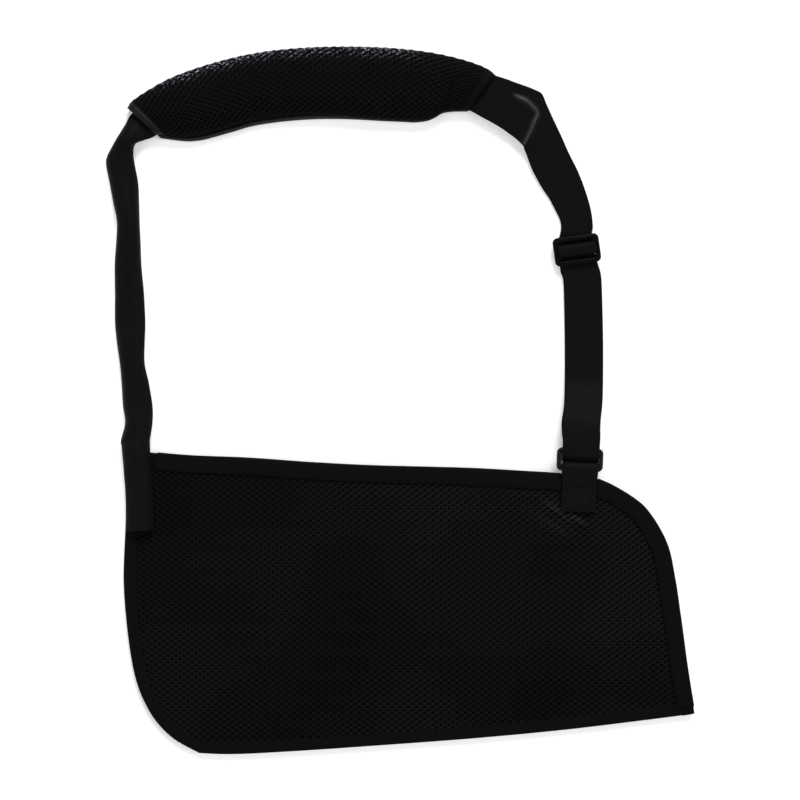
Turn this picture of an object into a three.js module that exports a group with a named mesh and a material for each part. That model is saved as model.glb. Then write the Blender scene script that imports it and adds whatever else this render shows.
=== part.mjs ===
// Arm sling: a mesh pouch for the forearm, a webbing strap that goes round the neck through a
// padded sleeve, a tri-glide slider that sets the strap's length and a ring that holds the strap
// to the pouch. It lies flat on its back. Millimetres, +Z up; +Y points from the pouch to the
// shoulder pad and +X from the elbow to the hand.
import * as THREE from "three";

// ---- driving dimensions ------------------------------------------------------------------
const CLOTH = 2.0; // thickness of the spacer mesh
const WEB = 1.5; // thickness of the webbing
const WEB_WIDTH = 29.5;
const GAP = 0.3; // air between pieces that touch
const BILLOW = 5.4; // how far the front panel stands off the back panel
const BILLOW_REACH = 70; // distance from the sewn edge over which it rises
const HEM_WIDTH = 13;
const HEM = 0.8;
const THREAD = 0.7;

const ELBOW_TOP = [-220, -41]; // where the top edge meets the elbow seam
const FOLD_START = [-209, -41]; // middle of the strap at the elbow
const HAND_CORNER = [234.7, -250];
const TAB_X = 143.2;

const RING_BAR = 4.0; // thickness of the ring and of its bars
const RING_SPACING = 14.6; // between the ring's two bars
const RING_OPENING = 30.8; // of the ring and of the slider, across
const RING_WIDTH = 37.0;
const TAB_BAR = [TAB_X, -54.6]; // middle of the ring's lower bar
const RING_TURN = Math.atan2(TAB_BAR[1] - FOLD_START[1], TAB_BAR[0] - FOLD_START[0]);

const SLIDER = [141.6, 119.6]; // middle of the tri-glide
const SLIDER_TURN = THREE.MathUtils.degToRad(8);
const SLIDER_BAR = 4.0;
const SLIDER_SLOT = 5.5;
const SLIDER_BASE = 4.0; // underside of the frame above the floor
const SLIDER_THICK = 3.5;
const DOUBLE_X = 147.0; // middle of the doubled strap

const PAD_CENTRE = [-28, -267]; // the pad is bent round this point
const PAD_RADIUS = 521;
// The pad's two long edges: degrees round its bend and distance from PAD_CENTRE.
const PAD_OUTER = [[-19.8, 540.4], [-18, 544], [-15.5, 547.9], [-12, 550.4], [-8, 551.1], [-2, 549.8],
  [4, 548.3], [8, 545.2], [10.2, 542.3]];
const PAD_INNER = [[-19.8, 505.4], [-18, 499.8], [-16.5, 495], [-15, 493.1], [-10, 494.7], [-5, 493.8],
  [1, 491.1], [4, 491.7], [6, 494.8], [8, 501], [10.2, 503.5]];
const PAD_HEIGHT = 17;
const PAD_FROM = THREE.MathUtils.degToRad(-19.8);
const PAD_TO = THREE.MathUtils.degToRad(10.2);
const PAD_STRAP_Z = 11.0; // middle of the strap over the pad's foam
const MOUTH_STRAP_Z = 6.8; // and where it comes out of either mouth
const MOUTH_SLANT = 0.00095; // turn of each mouth's cut, radians per millimetre across the pad
const SLANT_REACH = 0.12;

// ---- materials ---------------------------------------------------------------------------
function material(colour, roughness, metalness = 0) {
  return new THREE.MeshStandardMaterial({ color: colour, roughness, metalness });
}
const meshCloth = material(0x101012, 0.85);
const hemCloth = material(0x161618, 0.75);
const webbing = material(0x1a1a1c, 0.7);
const thread = material(0x242426, 0.6);
const plastic = material(0x0c0c0e, 0.25);
const lining = material(0x141416, 0.9);
const foam = material(0x3a3a3e, 0.95);

// ---- geometry helpers --------------------------------------------------------------------
const assembly = new THREE.Group();

function add(name, geometry, surface) {
  const mesh = new THREE.Mesh(geometry, surface);
  mesh.name = name;
  assembly.add(mesh);
  return mesh;
}

// Fills a ring whose first half runs beside its second half, as a strip between the two.
function capTriangles(count) {
  const pairs = Array.from({ length: count / 2 - 1 }, (_, i) => [i, i + 1, count - 2 - i, count - 1 - i]);
  return pairs.flatMap(([a, b, c, d]) => [[a, b, c], [a, c, d]]);
}

// A closed solid through a row of rings that all have the same, even number of points.
function loft(rings) {
  const count = rings[0].length;
  const positions = rings.flat().flatMap((p) => [p.x, p.y, p.z]);
  const faces = [];
  const last = (rings.length - 1) * count;
  for (let i = 0; i < rings.length - 1; i++) {
    const next = (i + 1) * count;
    for (let j = 0; j < count; j++) {
      const a = i * count + j;
      const b = i * count + ((j + 1) % count);
      const c = next + ((j + 1) % count);
      const d = next + j;
      faces.push([a, b, c], [a, c, d]);
    }
  }
  capTriangles(count).forEach(([a, b, c]) => faces.push([c, b, a], [last + a, last + b, last + c]));
  const at = (i) => new THREE.Vector3().fromArray(positions, i * 3);
  const volume = faces.reduce((sum, [a, b, c]) => sum + at(a).dot(at(b).cross(at(c))), 0);
  const outward = volume > 0 ? faces : faces.map(([a, b, c]) => [c, b, a]);
  const geometry = new THREE.BufferGeometry();
  geometry.setAttribute("position", new THREE.Float32BufferAttribute(positions, 3));
  geometry.setIndex(outward.flat());
  return geometry;
}

function sampleCurve(curve, from, to, steps) {
  return Array.from({ length: steps + 1 }, (_, i) => curve.getPointAt(from + ((to - from) * i) / steps));
}

// A sheet between two edges of equal point count. baseAt gives the height of its underside.
function sheetBetween(edgeA, edgeB, across, baseAt, thickness) {
  const rings = edgeA.map((a, i) => {
    const row = Array.from({ length: across + 1 }, (_, j) => {
      const p = a.clone().lerp(edgeB[i], j / across);
      return new THREE.Vector3(p.x, p.y, baseAt(p.x, p.y));
    });
    const top = row.map((p) => p.clone().setZ(p.z + thickness)).reverse();
    return [...row, ...top];
  });
  return loft(rings);
}

// A flat band: stations of [x, y, z of the middle, width], its width square to its run.
function band(stations, thickness, steps) {
  const run = new THREE.CatmullRomCurve3(
    stations.map(([x, y, z]) => new THREE.Vector3(x, y, z)),
    false,
    "centripetal",
  );
  const widths = new THREE.CatmullRomCurve3(
    stations.map((s, i) => new THREE.Vector3(i, s[3], 0)),
    false,
    "centripetal",
  );
  const rings = Array.from({ length: steps + 1 }, (_, i) => {
    const t = i / steps;
    const middle = run.getPoint(t);
    const along = run.getTangent(t);
    const side = new THREE.Vector3(along.y, -along.x, 0).normalize();
    const up = side.clone().cross(along).normalize();
    const half = widths.getPoint(t).y / 2;
    const corner = (s, u) =>
      middle.clone().addScaledVector(side, s * half).addScaledVector(up, (u * thickness) / 2);
    return [corner(-1, -1), corner(1, -1), corner(1, 1), corner(-1, 1)];
  });
  return loft(rings);
}

// A band whose run lies in the upright plane x = 0: [y, z] points, thickness square to the run.
function uprightBand(points, thickness, width) {
  const run = points.map(([y, z]) => new THREE.Vector2(y, z));
  const offset = run.map((p, i) => {
    const before = run[Math.max(i - 1, 0)];
    const after = run[Math.min(i + 1, run.length - 1)];
    const along = after.clone().sub(before).normalize();
    return new THREE.Vector2(-along.y, along.x).multiplyScalar(thickness / 2);
  });
  const upper = run.map((p, i) => p.clone().add(offset[i]));
  const lower = run.map((p, i) => p.clone().sub(offset[i])).reverse();
  return acrossX(new THREE.Shape([...upper, ...lower]), width);
}

// Extrudes a [y, z] outline along X, centred on x = 0.
function acrossX(shape, width) {
  const geometry = new THREE.ExtrudeGeometry(shape, { depth: width, bevelEnabled: false });
  geometry.applyMatrix4(
    new THREE.Matrix4().set(0, 0, 1, -width / 2, 1, 0, 0, 0, 0, 1, 0, 0, 0, 0, 0, 1),
  );
  return geometry;
}

function arc(centre, radius, from, to, steps) {
  return Array.from({ length: steps + 1 }, (_, i) => {
    const angle = from + ((to - from) * i) / steps;
    return [centre[0] + radius * Math.cos(angle), centre[1] + radius * Math.sin(angle)];
  });
}

function roundedRectangle(width, height, radius, path = new THREE.Shape()) {
  const x = width / 2 - radius;
  const y = height / 2 - radius;
  path.absarc(x, y, radius, 0, Math.PI / 2);
  path.absarc(-x, y, radius, Math.PI / 2, Math.PI);
  path.absarc(-x, -y, radius, Math.PI, 1.5 * Math.PI);
  path.absarc(x, -y, radius, 1.5 * Math.PI, 2 * Math.PI);
  path.closePath();
  return path;
}

function slot(width, height, y) {
  const hole = roundedRectangle(width, height, 1, new THREE.Path());
  return new THREE.Path(hole.getPoints(4).map((p) => new THREE.Vector2(p.x, p.y + y)));
}

// ---- pouch -------------------------------------------------------------------------------
const sewnEdge = new THREE.SplineCurve(
  [ELBOW_TOP, [-218.5, -90], [-220, -150], [-213, -212], [-201, -246], [-183, -268], [-160, -281.5]]
    .map((p) => new THREE.Vector2(...p)),
);
const bottomEdge = new THREE.SplineCurve(
  [[-160, -281.5], [-132, -282.3], [-84, -279.9], [-12, -275], [60, -269.6], [132, -262.8], [204, -254.1],
   HAND_CORNER]
    .map((p) => new THREE.Vector2(...p)),
);
const topEdge = new THREE.SplineCurve(
  [FOLD_START, [-168, -44.6], [-120, -46.6], [-72, -50], [-24, -52.5], [24, -53.8], [60, -54.9],
   [97, -57.2], [130, -60], [158, -64.4], [185, -78.2], [199.3, -92.1], [212, -115.4], [217.9, -142],
   [222.4, -172], [227.5, -208], HAND_CORNER]
    .map((p) => new THREE.Vector2(...p)),
);
const sewnOutline = [...sampleCurve(sewnEdge, 0, 1, 14), ...sampleCurve(bottomEdge, 0, 1, 14).slice(1)];

function distanceToSewnEdge(x, y) {
  const point = new THREE.Vector3(x, y, 0);
  const near = new THREE.Vector3();
  const distances = sewnOutline.slice(1).map((b, i) => {
    const a = sewnOutline[i];
    const side = new THREE.Line3(new THREE.Vector3(a.x, a.y, 0), new THREE.Vector3(b.x, b.y, 0));
    return side.closestPointToPoint(point, true, near).distanceTo(point);
  });
  return Math.min(...distances);
}

function billow(x, y) {
  return BILLOW * THREE.MathUtils.smoothstep(distanceToSewnEdge(x, y), 0, BILLOW_REACH);
}

const SEAM_TAPE = 0.8;
const frontBase = (x, y) => CLOTH + SEAM_TAPE + 2 * GAP + billow(x, y);
const frontTop = (x, y) => frontBase(x, y) + CLOTH;

function inward(points, distance) {
  return points.map((p, i) => {
    const before = points[Math.max(i - 1, 0)];
    const after = points[Math.min(i + 1, points.length - 1)];
    const along = after.clone().sub(before).normalize();
    return new THREE.Vector2(p.x + along.y * distance, p.y - along.x * distance);
  });
}

function backPanel() {
  const outline = [...sewnOutline, ...sampleCurve(topEdge, 0, 1, 40).reverse().slice(1)];
  return new THREE.ExtrudeGeometry(new THREE.Shape(outline), { depth: CLOTH, bevelEnabled: false });
}

// The front panel is one cloth. It opens along the line from the elbow to the hand corner, so
// it is two solids here, with room between them to turn.
const foldLine = new THREE.LineCurve(new THREE.Vector2(...FOLD_START), new THREE.Vector2(...HAND_CORNER));
const FOLD_ROOM = 2.8;
const foldSide = foldLine.getTangent(0);

function frontPanelLower() {
  const steps = sewnOutline.length - 1;
  const outer = sewnOutline;
  const inner = sampleCurve(foldLine, 0, 0.985, steps).map(
    (p) => new THREE.Vector2(p.x + foldSide.y * 0.1, p.y - foldSide.x * 0.1),
  );
  return sheetBetween(outer, inner, 10, frontBase, CLOTH);
}

function frontPanelUpper() {
  const steps = 34;
  const outer = sampleCurve(topEdge, 0.02, 0.985, steps);
  const inner = sampleCurve(foldLine, 0.025, 0.972, steps).map(
    (p) => new THREE.Vector2(p.x - foldSide.y * FOLD_ROOM, p.y + foldSide.x * FOLD_ROOM),
  );
  return sheetBetween(outer, inner, 8, frontBase, CLOTH);
}

function hem(from, to, steps, baseAt) {
  const edge = sampleCurve(topEdge, from, to, steps);
  return sheetBetween(inward(edge, 0.6), inward(edge, HEM_WIDTH), 2, baseAt, HEM);
}

function threadAlong(points, baseAt) {
  const other = inward(points, THREAD);
  return sheetBetween(points, other, 1, baseAt, THREAD);
}

const HEM_FROM = 0.075; // fractions of the top edge's length: where the hem starts at the elbow,
const TAB_FROM = 0.555; // and where the ring's tab interrupts it
const TAB_TO = 0.64;
const onFront = (x, y) => frontTop(x, y) + 2 * GAP;
const onHem = (x, y) => onFront(x, y) + HEM + GAP;
const onBack = () => CLOTH + GAP;

add("back_panel", backPanel(), meshCloth);
add("front_panel_lower", frontPanelLower(), meshCloth);
add("front_panel_upper", frontPanelUpper(), meshCloth);
add("front_top_hem", hem(HEM_FROM, TAB_FROM, 16, onFront), hemCloth);
add("front_hand_hem", hem(TAB_TO, 0.965, 20, onFront), hemCloth);
add("back_top_hem", hem(HEM_FROM, TAB_FROM, 16, onBack), hemCloth);
add("back_hand_hem", hem(TAB_TO, 0.95, 20, onBack), hemCloth);
add("seam_tape", sheetBetween(
  inward(sewnOutline.slice(2, -1), -0.6), inward(sewnOutline.slice(2, -1), -7), 1, onBack, SEAM_TAPE,
), hemCloth);
add("seam_thread", threadAlong(inward(sewnOutline.slice(4, -1), -10), onFront), thread);
add("top_hem_thread",
  threadAlong(
    inward(sampleCurve(topEdge, HEM_FROM + 0.01, TAB_FROM - 0.01, 16), HEM_WIDTH - 3), onHem,
  ), thread);
add("hand_hem_thread",
  threadAlong(inward(sampleCurve(topEdge, TAB_TO + 0.01, 0.955, 20), HEM_WIDTH - 3), onHem), thread);

// ---- strap at the elbow --------------------------------------------------------------------
const elbowRise = frontTop(-195, -85) + GAP + WEB / 2;

function elbowEnd() {
  return band(
    [[-206.9, -104, elbowRise, 21], [-207.3, -80, elbowRise, 21.5], [-208.8, -60, elbowRise, 21.5],
     [-209.4, -48, elbowRise, 21.5], [-209.8, -42.5, elbowRise, 21.5]],
    WEB, 10,
  );
}

// A closed row of stitches round a rectangle, standing on a face at the given height.
function stitchFrame(width, height, z, turn = 0) {
  const frame = roundedRectangle(width, height, 1.5);
  frame.holes.push(roundedRectangle(width - 2 * THREAD, height - 2 * THREAD, 0.8, new THREE.Path()));
  const geometry = new THREE.ExtrudeGeometry(frame, { depth: THREAD, bevelEnabled: false, curveSegments: 3 });
  return geometry.rotateZ(turn).translate(0, 0, z);
}

add("strap_elbow_end", elbowEnd(), webbing);
add("elbow_box_stitch", stitchFrame(15, 34, elbowRise + WEB / 2 + GAP), thread).position.set(-207.4, -82, 0);

// ---- strap from the elbow to the slider -----------------------------------------------------
const FLOOR_WEB = WEB / 2; // middle of webbing that lies on the floor
const padPoint = (angle, radius = PAD_RADIUS) => [
  PAD_CENTRE[0] + radius * Math.sin(angle),
  PAD_CENTRE[1] + radius * Math.cos(angle),
];
const STRAP_IN_PAD_FROM = PAD_FROM + 0.035;
const STRAP_IN_PAD_TO = PAD_TO - 0.012;

// The strap comes in at the mouths' height and rises over the foam.
function strapHeightInPad(angle) {
  const fromLeft = THREE.MathUtils.smoothstep(angle, PAD_FROM + 0.025, PAD_FROM + 0.07);
  const fromRight = THREE.MathUtils.smoothstep(PAD_TO - angle, 0.035, 0.088);
  return MOUTH_STRAP_Z + (PAD_STRAP_Z - MOUTH_STRAP_Z) * Math.min(fromLeft, fromRight);
}

function leftRun() {
  return band(
    [[-210.0, -40.5, elbowRise, 21.5], [-210.3, -25, 4.2, 22], [-210.0, 0, 1.2, 23.4],
     [-212.2, 27, FLOOR_WEB, 22], [-215.2, 60, FLOOR_WEB, 24], [-216.0, 90, FLOOR_WEB, 22],
     [-216.8, 122, FLOOR_WEB, 19], [-217.2, 144, FLOOR_WEB, 17.5], [-220.2, 169, 0.9, 22],
     [-223.2, 190, 1.2, 22], [-219.5, 206, 4.0, 21],
     [...padPoint(STRAP_IN_PAD_FROM - 0.014), MOUTH_STRAP_Z, 24],
     [...padPoint(STRAP_IN_PAD_FROM - 0.002), strapHeightInPad(STRAP_IN_PAD_FROM), 25]],
    WEB, 56,
  );
}

function strapInPad() {
  const steps = 24;
  const stations = Array.from({ length: steps + 1 }, (_, i) => {
    const angle = STRAP_IN_PAD_FROM + ((STRAP_IN_PAD_TO - STRAP_IN_PAD_FROM) * i) / steps;
    return [...padPoint(angle), strapHeightInPad(angle), i === 0 || i === steps ? 25 : WEB_WIDTH];
  });
  return band(stations, WEB, steps);
}

function rightRun() {
  return band(
    [[...padPoint(STRAP_IN_PAD_TO + 0.002), MOUTH_STRAP_Z, 25],
     [...padPoint(STRAP_IN_PAD_TO + 0.014), MOUTH_STRAP_Z, 25.5], [83.5, 237.6, 6.4, 29],
     [95, 231.5, 5.2, 31], [105, 223.5, 3.8, 32], [112, 209, 2.2, 31], [118.3, 194, FLOOR_WEB, 30.5],
     [126.5, 178, FLOOR_WEB, 30], [134, 164.3, FLOOR_WEB, 29.5], [139.2, 151.5, FLOOR_WEB, 28],
     [141.4, 136.5, FLOOR_WEB, 25.5]],
    WEB, 44,
  );
}

add("strap_left_run", leftRun(), webbing);
add("strap_in_pad", strapInPad(), webbing);
add("strap_right_run", rightRun(), webbing);

// ---- slider --------------------------------------------------------------------------------
function sliderFrame() {
  const height = 3 * SLIDER_BAR + 2 * SLIDER_SLOT;
  const bevel = 0.6;
  const frame = roundedRectangle(RING_WIDTH - 2 * bevel, height - 2 * bevel, 2.4);
  for (const side of [-1, 1]) {
    const y = (side * (SLIDER_BAR + SLIDER_SLOT)) / 2;
    frame.holes.push(slot(RING_OPENING + 2 * bevel, SLIDER_SLOT + 2 * bevel, y));
  }
  const geometry = new THREE.ExtrudeGeometry(frame, {
    depth: SLIDER_THICK - 2 * bevel,
    bevelThickness: bevel,
    bevelSize: bevel,
    bevelSegments: 2,
    curveSegments: 4,
  });
  return geometry.translate(0, 0, SLIDER_BASE + bevel);
}

const END_LOOP = 1.2; // thickness of the sewn end where it wraps the middle bar
const loopHalf = SLIDER_BAR / 2 + GAP + END_LOOP;
const loopTop = SLIDER_BASE + SLIDER_THICK + GAP + END_LOOP;
const TAIL = 13; // from the middle bar to where the two layers are joined on

function endLoop() {
  const outline = new THREE.Shape();
  outline.moveTo(loopHalf, GAP);
  outline.lineTo(loopHalf, loopTop - 1);
  outline.absarc(loopHalf - 1, loopTop - 1, 1, 0, Math.PI / 2);
  outline.absarc(1 - loopHalf, loopTop - 1, 1, Math.PI / 2, Math.PI);
  outline.lineTo(-loopHalf, GAP + WEB);
  outline.lineTo(-TAIL, GAP + WEB);
  outline.lineTo(-TAIL, GAP);
  outline.closePath();
  const hole = new THREE.Path();
  const half = loopHalf - END_LOOP;
  hole.moveTo(-half, SLIDER_BASE - GAP);
  hole.lineTo(half, SLIDER_BASE - GAP);
  hole.lineTo(half, loopTop - END_LOOP);
  hole.lineTo(-half, loopTop - END_LOOP);
  hole.closePath();
  outline.holes.push(hole);
  return acrossX(outline, WEB_WIDTH - 1);
}

// The running strap comes from under the top bar, over the middle bar and its sewn loop, and
// goes under the bottom bar.
function threadedArch() {
  const y = loopHalf + GAP + WEB / 2;
  const z = loopTop + GAP + WEB / 2;
  const under = 2 * GAP + 1.5 * WEB;
  return uprightBand(
    [[-TAIL, under], [-y - 2.6, under], [-y - 0.7, under + 0.7], [-y, under + 2.4], [-y, z - 1.4],
     [-y + 1.2, z - 0.2], [0, z + 0.1], [y - 1.2, z - 0.2], [y, z - 1.4], [y, under + 1.4],
     [y + 0.9, under - 0.4], [y + 3, 1.5 * GAP + WEB / 2], [TAIL, GAP + WEB / 2]],
    WEB, WEB_WIDTH - 0.6,
  );
}

const slider = new THREE.Group();
slider.position.set(...SLIDER, 0);
slider.rotation.z = SLIDER_TURN;
slider.add(
  add("tri_glide", sliderFrame(), plastic),
  add("strap_sewn_end", endLoop(), webbing),
  add("strap_over_bar", threadedArch(), webbing),
);
assembly.add(slider);

// ---- doubled strap and ring ----------------------------------------------------------------
const tabFoot = frontTop(TAB_X, TAB_BAR[1] - 20) + 2 * GAP;
const RING_HEIGHT = tabFoot + WEB; // of the ring's middle above the floor
const aboveTabBar = (distance) => [
  TAB_BAR[0] - distance * Math.sin(RING_TURN),
  TAB_BAR[1] + distance * Math.cos(RING_TURN),
];
const RING_MIDDLE = aboveTabBar(RING_SPACING / 2);
const UPPER_BAR = aboveTabBar(RING_SPACING);
const LOOP_IN = RING_BAR / 2 + 2 * GAP; // inner radius of webbing round a bar
const LOOP_LEG = 9; // length of the ring loop's two legs
const LAYER_TOP = SLIDER[1] - TAIL - 2.8; // ends of the two layers below the slider
const layerFrom = UPPER_BAR[1] + LOOP_LEG + 1;

function doubledLayer(floorZ, ringZ) {
  const middle = (DOUBLE_X + TAB_X) / 2;
  return band(
    [[middle - 0.3, layerFrom, ringZ, WEB_WIDTH], [middle - 0.3, layerFrom + 2, ringZ, WEB_WIDTH],
     [middle, layerFrom + 14, ringZ * 0.78, WEB_WIDTH],
     [DOUBLE_X, layerFrom + 48, floorZ, WEB_WIDTH], [DOUBLE_X, 50, floorZ, WEB_WIDTH],
     [DOUBLE_X - 1.8, LAYER_TOP, floorZ, WEB_WIDTH - 1]],
    WEB, 18,
  );
}

function ringLoop() {
  const outer = LOOP_IN + WEB;
  const bend = (radius, from, to) => arc([0, RING_HEIGHT], radius, from, to, 12);
  const outline = [
    [LOOP_LEG, RING_HEIGHT + outer], ...bend(outer, Math.PI / 2, 1.5 * Math.PI),
    [LOOP_LEG, RING_HEIGHT - outer], [LOOP_LEG, RING_HEIGHT - LOOP_IN],
    ...bend(LOOP_IN, 1.5 * Math.PI, Math.PI / 2), [LOOP_LEG, RING_HEIGHT + LOOP_IN],
  ];
  return acrossX(new THREE.Shape(outline.map((p) => new THREE.Vector2(...p))), WEB_WIDTH - 1);
}

function ringFrame() {
  const bevel = 1.1;
  const height = RING_SPACING + RING_BAR;
  const frame = roundedRectangle(RING_WIDTH - 2 * bevel, height - 2 * bevel, 2.6);
  frame.holes.push(roundedRectangle(
    RING_OPENING + 2 * bevel, RING_SPACING - RING_BAR + 2 * bevel, 1.3, new THREE.Path(),
  ));
  const geometry = new THREE.ExtrudeGeometry(frame, {
    depth: RING_BAR - 2 * bevel,
    bevelThickness: bevel,
    bevelSize: bevel,
    bevelSegments: 2,
    curveSegments: 4,
  });
  return geometry.translate(0, 0, RING_HEIGHT - RING_BAR / 2 + bevel);
}

// The tab goes round the ring's lower bar, and both its ends are sewn on the front panel.
const TAB_LENGTH = 34;
const TAB_WIDTH = 27.5;

function ringTab() {
  const outer = LOOP_IN + WEB;
  const outline = new THREE.Shape();
  outline.absarc(0, RING_HEIGHT, outer, -0.75 * Math.PI, 0.62 * Math.PI);
  outline.lineTo(-9, tabFoot + 2 * WEB);
  outline.lineTo(-TAB_LENGTH, tabFoot + 2 * WEB);
  outline.lineTo(-TAB_LENGTH, tabFoot);
  outline.lineTo(-3.7, tabFoot);
  outline.closePath();
  const hole = new THREE.Path();
  hole.absarc(0, RING_HEIGHT, LOOP_IN, 0, 2 * Math.PI);
  outline.holes.push(hole);
  return acrossX(outline, TAB_WIDTH);
}

add("strap_front_layer", doubledLayer(2 * GAP + 1.5 * WEB, RING_HEIGHT + LOOP_IN + WEB / 2), webbing);
add("strap_back_layer", doubledLayer(GAP + WEB / 2, RING_HEIGHT - LOOP_IN - WEB / 2), webbing);
const loop = add("strap_ring_loop", ringLoop(), webbing);
loop.position.set(...UPPER_BAR, 0);
loop.rotation.z = RING_TURN;
const ring = add("strap_ring", ringFrame(), plastic);
ring.position.set(...RING_MIDDLE, 0);
ring.rotation.z = RING_TURN;
const tab = add("ring_tab", ringTab(), webbing);
tab.position.set(...TAB_BAR, 0);
tab.rotation.z = RING_TURN;
const tabStitch = add("tab_box_stitch", stitchFrame(TAB_WIDTH - 6, 17, tabFoot + 2 * WEB + GAP), thread);
tabStitch.position.set(TAB_BAR[0], TAB_BAR[1] - TAB_LENGTH + 10.5, 0);

// ---- shoulder pad --------------------------------------------------------------------------
// A smooth curve through [degrees, radius] points, as a function from an angle in radians.
function profile(points) {
  const samples = new THREE.SplineCurve(points.map((p) => new THREE.Vector2(...p))).getPoints(120);
  return (angle) => {
    const degrees = THREE.MathUtils.radToDeg(angle);
    const inside = THREE.MathUtils.clamp(degrees, samples[0].x, samples.at(-1).x);
    const next = Math.max(1, samples.findIndex((p) => p.x >= inside));
    const share = THREE.MathUtils.inverseLerp(samples[next - 1].x, samples[next].x, inside);
    return THREE.MathUtils.lerp(samples[next - 1].y, samples[next].y, share);
  };
}

const padOuter = profile(PAD_OUTER);
const padInner = profile(PAD_INNER);
const padHalf = (angle) => (padOuter(angle) - padInner(angle)) / 2;
const padMiddle = (angle) => (padOuter(angle) + padInner(angle)) / 2;

// Both mouths are cut on a slant, so the pad's outer edge is longer than its inner edge.
function padSlant(angle, across) {
  const left = 1 - THREE.MathUtils.smoothstep(angle, PAD_FROM, PAD_FROM + SLANT_REACH);
  const right = THREE.MathUtils.smoothstep(angle, PAD_TO - SLANT_REACH, PAD_TO);
  return across * MOUTH_SLANT * (right - left);
}

// Sweeps a section of [across, height] points round the pad's bend.
function padSweep(sectionAt, from, to, steps) {
  const rings = Array.from({ length: steps + 1 }, (_, i) => {
    const angle = from + ((to - from) * i) / steps;
    return sectionAt(angle).map(([across, z]) => {
      const [x, y] = padPoint(angle + padSlant(angle, across), padMiddle(angle) + across);
      return new THREE.Vector3(x, y, z);
    });
  });
  return loft(rings);
}

const COVER = 1.6;
const PIPING = 1.7;
const COVER_BASE = 2 * PIPING + GAP;

function coverArch(half, height, steps) {
  return Array.from({ length: steps + 1 }, (_, i) => {
    const angle = (Math.PI * i) / steps;
    return [half * Math.cos(angle), COVER_BASE + height * Math.sin(angle) ** 0.8];
  });
}

function coverSection(angle) {
  const outer = coverArch(padHalf(angle) - 0.4, PAD_HEIGHT - COVER_BASE, 12);
  const inner = coverArch(padHalf(angle) - 0.4 - COVER, PAD_HEIGHT - COVER_BASE - COVER, 12);
  return [...outer, ...inner.reverse()];
}

const liningSection = (angle) => {
  const half = padHalf(angle) - 2 * PIPING - GAP;
  return [[-half, 0], [half, 0], [half, 1.4], [-half, 1.4]];
};

const foamSection = (angle) => {
  const half = padHalf(angle) - 7.5;
  return [[-half, 1.7], [half, 1.7], [half, 6.5], [half - 3, 9.4], [3 - half, 9.4], [-half, 6.5]];
};

function pipingSection(side) {
  return (angle) => arc([side * (padHalf(angle) - PIPING), PIPING], PIPING, 0, 2 * Math.PI, 8).slice(0, 8);
}

// A band of tape that closes the cover's cut edge, all round one mouth.
function mouthBinding(from, to) {
  const section = (angle) => {
    const outer = coverArch(padHalf(angle) + 0.9, PAD_HEIGHT - COVER_BASE + 1.3, 12);
    const inner = coverArch(padHalf(angle) - 0.1, PAD_HEIGHT - COVER_BASE + GAP, 12);
    return [...outer, ...inner.reverse()];
  };
  return padSweep(section, from, to, 2);
}

add("pad_cover", padSweep(coverSection, PAD_FROM, PAD_TO, 26), meshCloth);
add("pad_lining", padSweep(liningSection, PAD_FROM, PAD_TO, 26), lining);
add("pad_foam", padSweep(foamSection, PAD_FROM + 0.078, PAD_TO - 0.095, 20), foam);
add("pad_piping_upper", padSweep(pipingSection(1), PAD_FROM, PAD_TO, 30), hemCloth);
add("pad_piping_lower", padSweep(pipingSection(-1), PAD_FROM, PAD_TO, 30), hemCloth);
add("pad_binding_left", mouthBinding(PAD_FROM - 0.004, PAD_FROM + 0.008), hemCloth);
add("pad_binding_right", mouthBinding(PAD_TO - 0.008, PAD_TO + 0.004), hemCloth);

export default assembly;
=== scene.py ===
"""An arm sling laid flat on a white table: mesh pouch, webbing strap, slider, ring and shoulder pad."""

import math

import bpy
import numpy as np
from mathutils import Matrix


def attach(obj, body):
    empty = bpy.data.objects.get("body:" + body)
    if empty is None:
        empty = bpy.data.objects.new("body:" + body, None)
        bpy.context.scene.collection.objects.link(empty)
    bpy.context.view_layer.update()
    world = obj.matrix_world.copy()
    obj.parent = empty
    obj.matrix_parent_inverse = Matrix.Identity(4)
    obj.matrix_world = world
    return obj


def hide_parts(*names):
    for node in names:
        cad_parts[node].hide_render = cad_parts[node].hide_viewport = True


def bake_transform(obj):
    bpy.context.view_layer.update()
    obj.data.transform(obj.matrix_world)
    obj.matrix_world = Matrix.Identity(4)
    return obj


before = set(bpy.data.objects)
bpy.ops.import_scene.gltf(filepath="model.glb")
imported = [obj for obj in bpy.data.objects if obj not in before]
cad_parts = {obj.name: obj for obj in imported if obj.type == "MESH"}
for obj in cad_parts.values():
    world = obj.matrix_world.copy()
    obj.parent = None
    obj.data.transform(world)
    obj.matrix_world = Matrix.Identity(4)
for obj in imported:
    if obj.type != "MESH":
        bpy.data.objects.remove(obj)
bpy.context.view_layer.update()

MM = 0.001  # the script works in millimetres, and Blender in metres

# ---- camera, table and light -----------------------------------------------------------------
CAMERA_HEIGHT = 1.511
LENS = 85
SENSOR_WIDTH = 36
TABLE_SIZE = 40.0
TABLE_Z = -0.0006
TABLE_GLOW = 0.22
DAYLIGHT = 0.06
# Far, broad studio lights: name, azimuth, elevation, strength and softness. Azimuth 0 is the far side,
# +Y, and 90 is +X. Angles are in degrees.
SUNS = [
    ("key", 10, 38, 2.9, 24),
    ("left fill", -95, 42, 1.15, 40),
    ("right fill", 95, 42, 1.15, 40),
    ("near fill", 180, 42, 0.9, 40),
]


def add_camera():
    data = bpy.data.cameras.new("camera")
    data.lens = LENS
    data.sensor_width = SENSOR_WIDTH
    camera = bpy.data.objects.new("camera", data)
    camera.location = (0, 0, CAMERA_HEIGHT)
    bpy.context.scene.collection.objects.link(camera)
    bpy.context.scene.camera = camera


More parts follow.
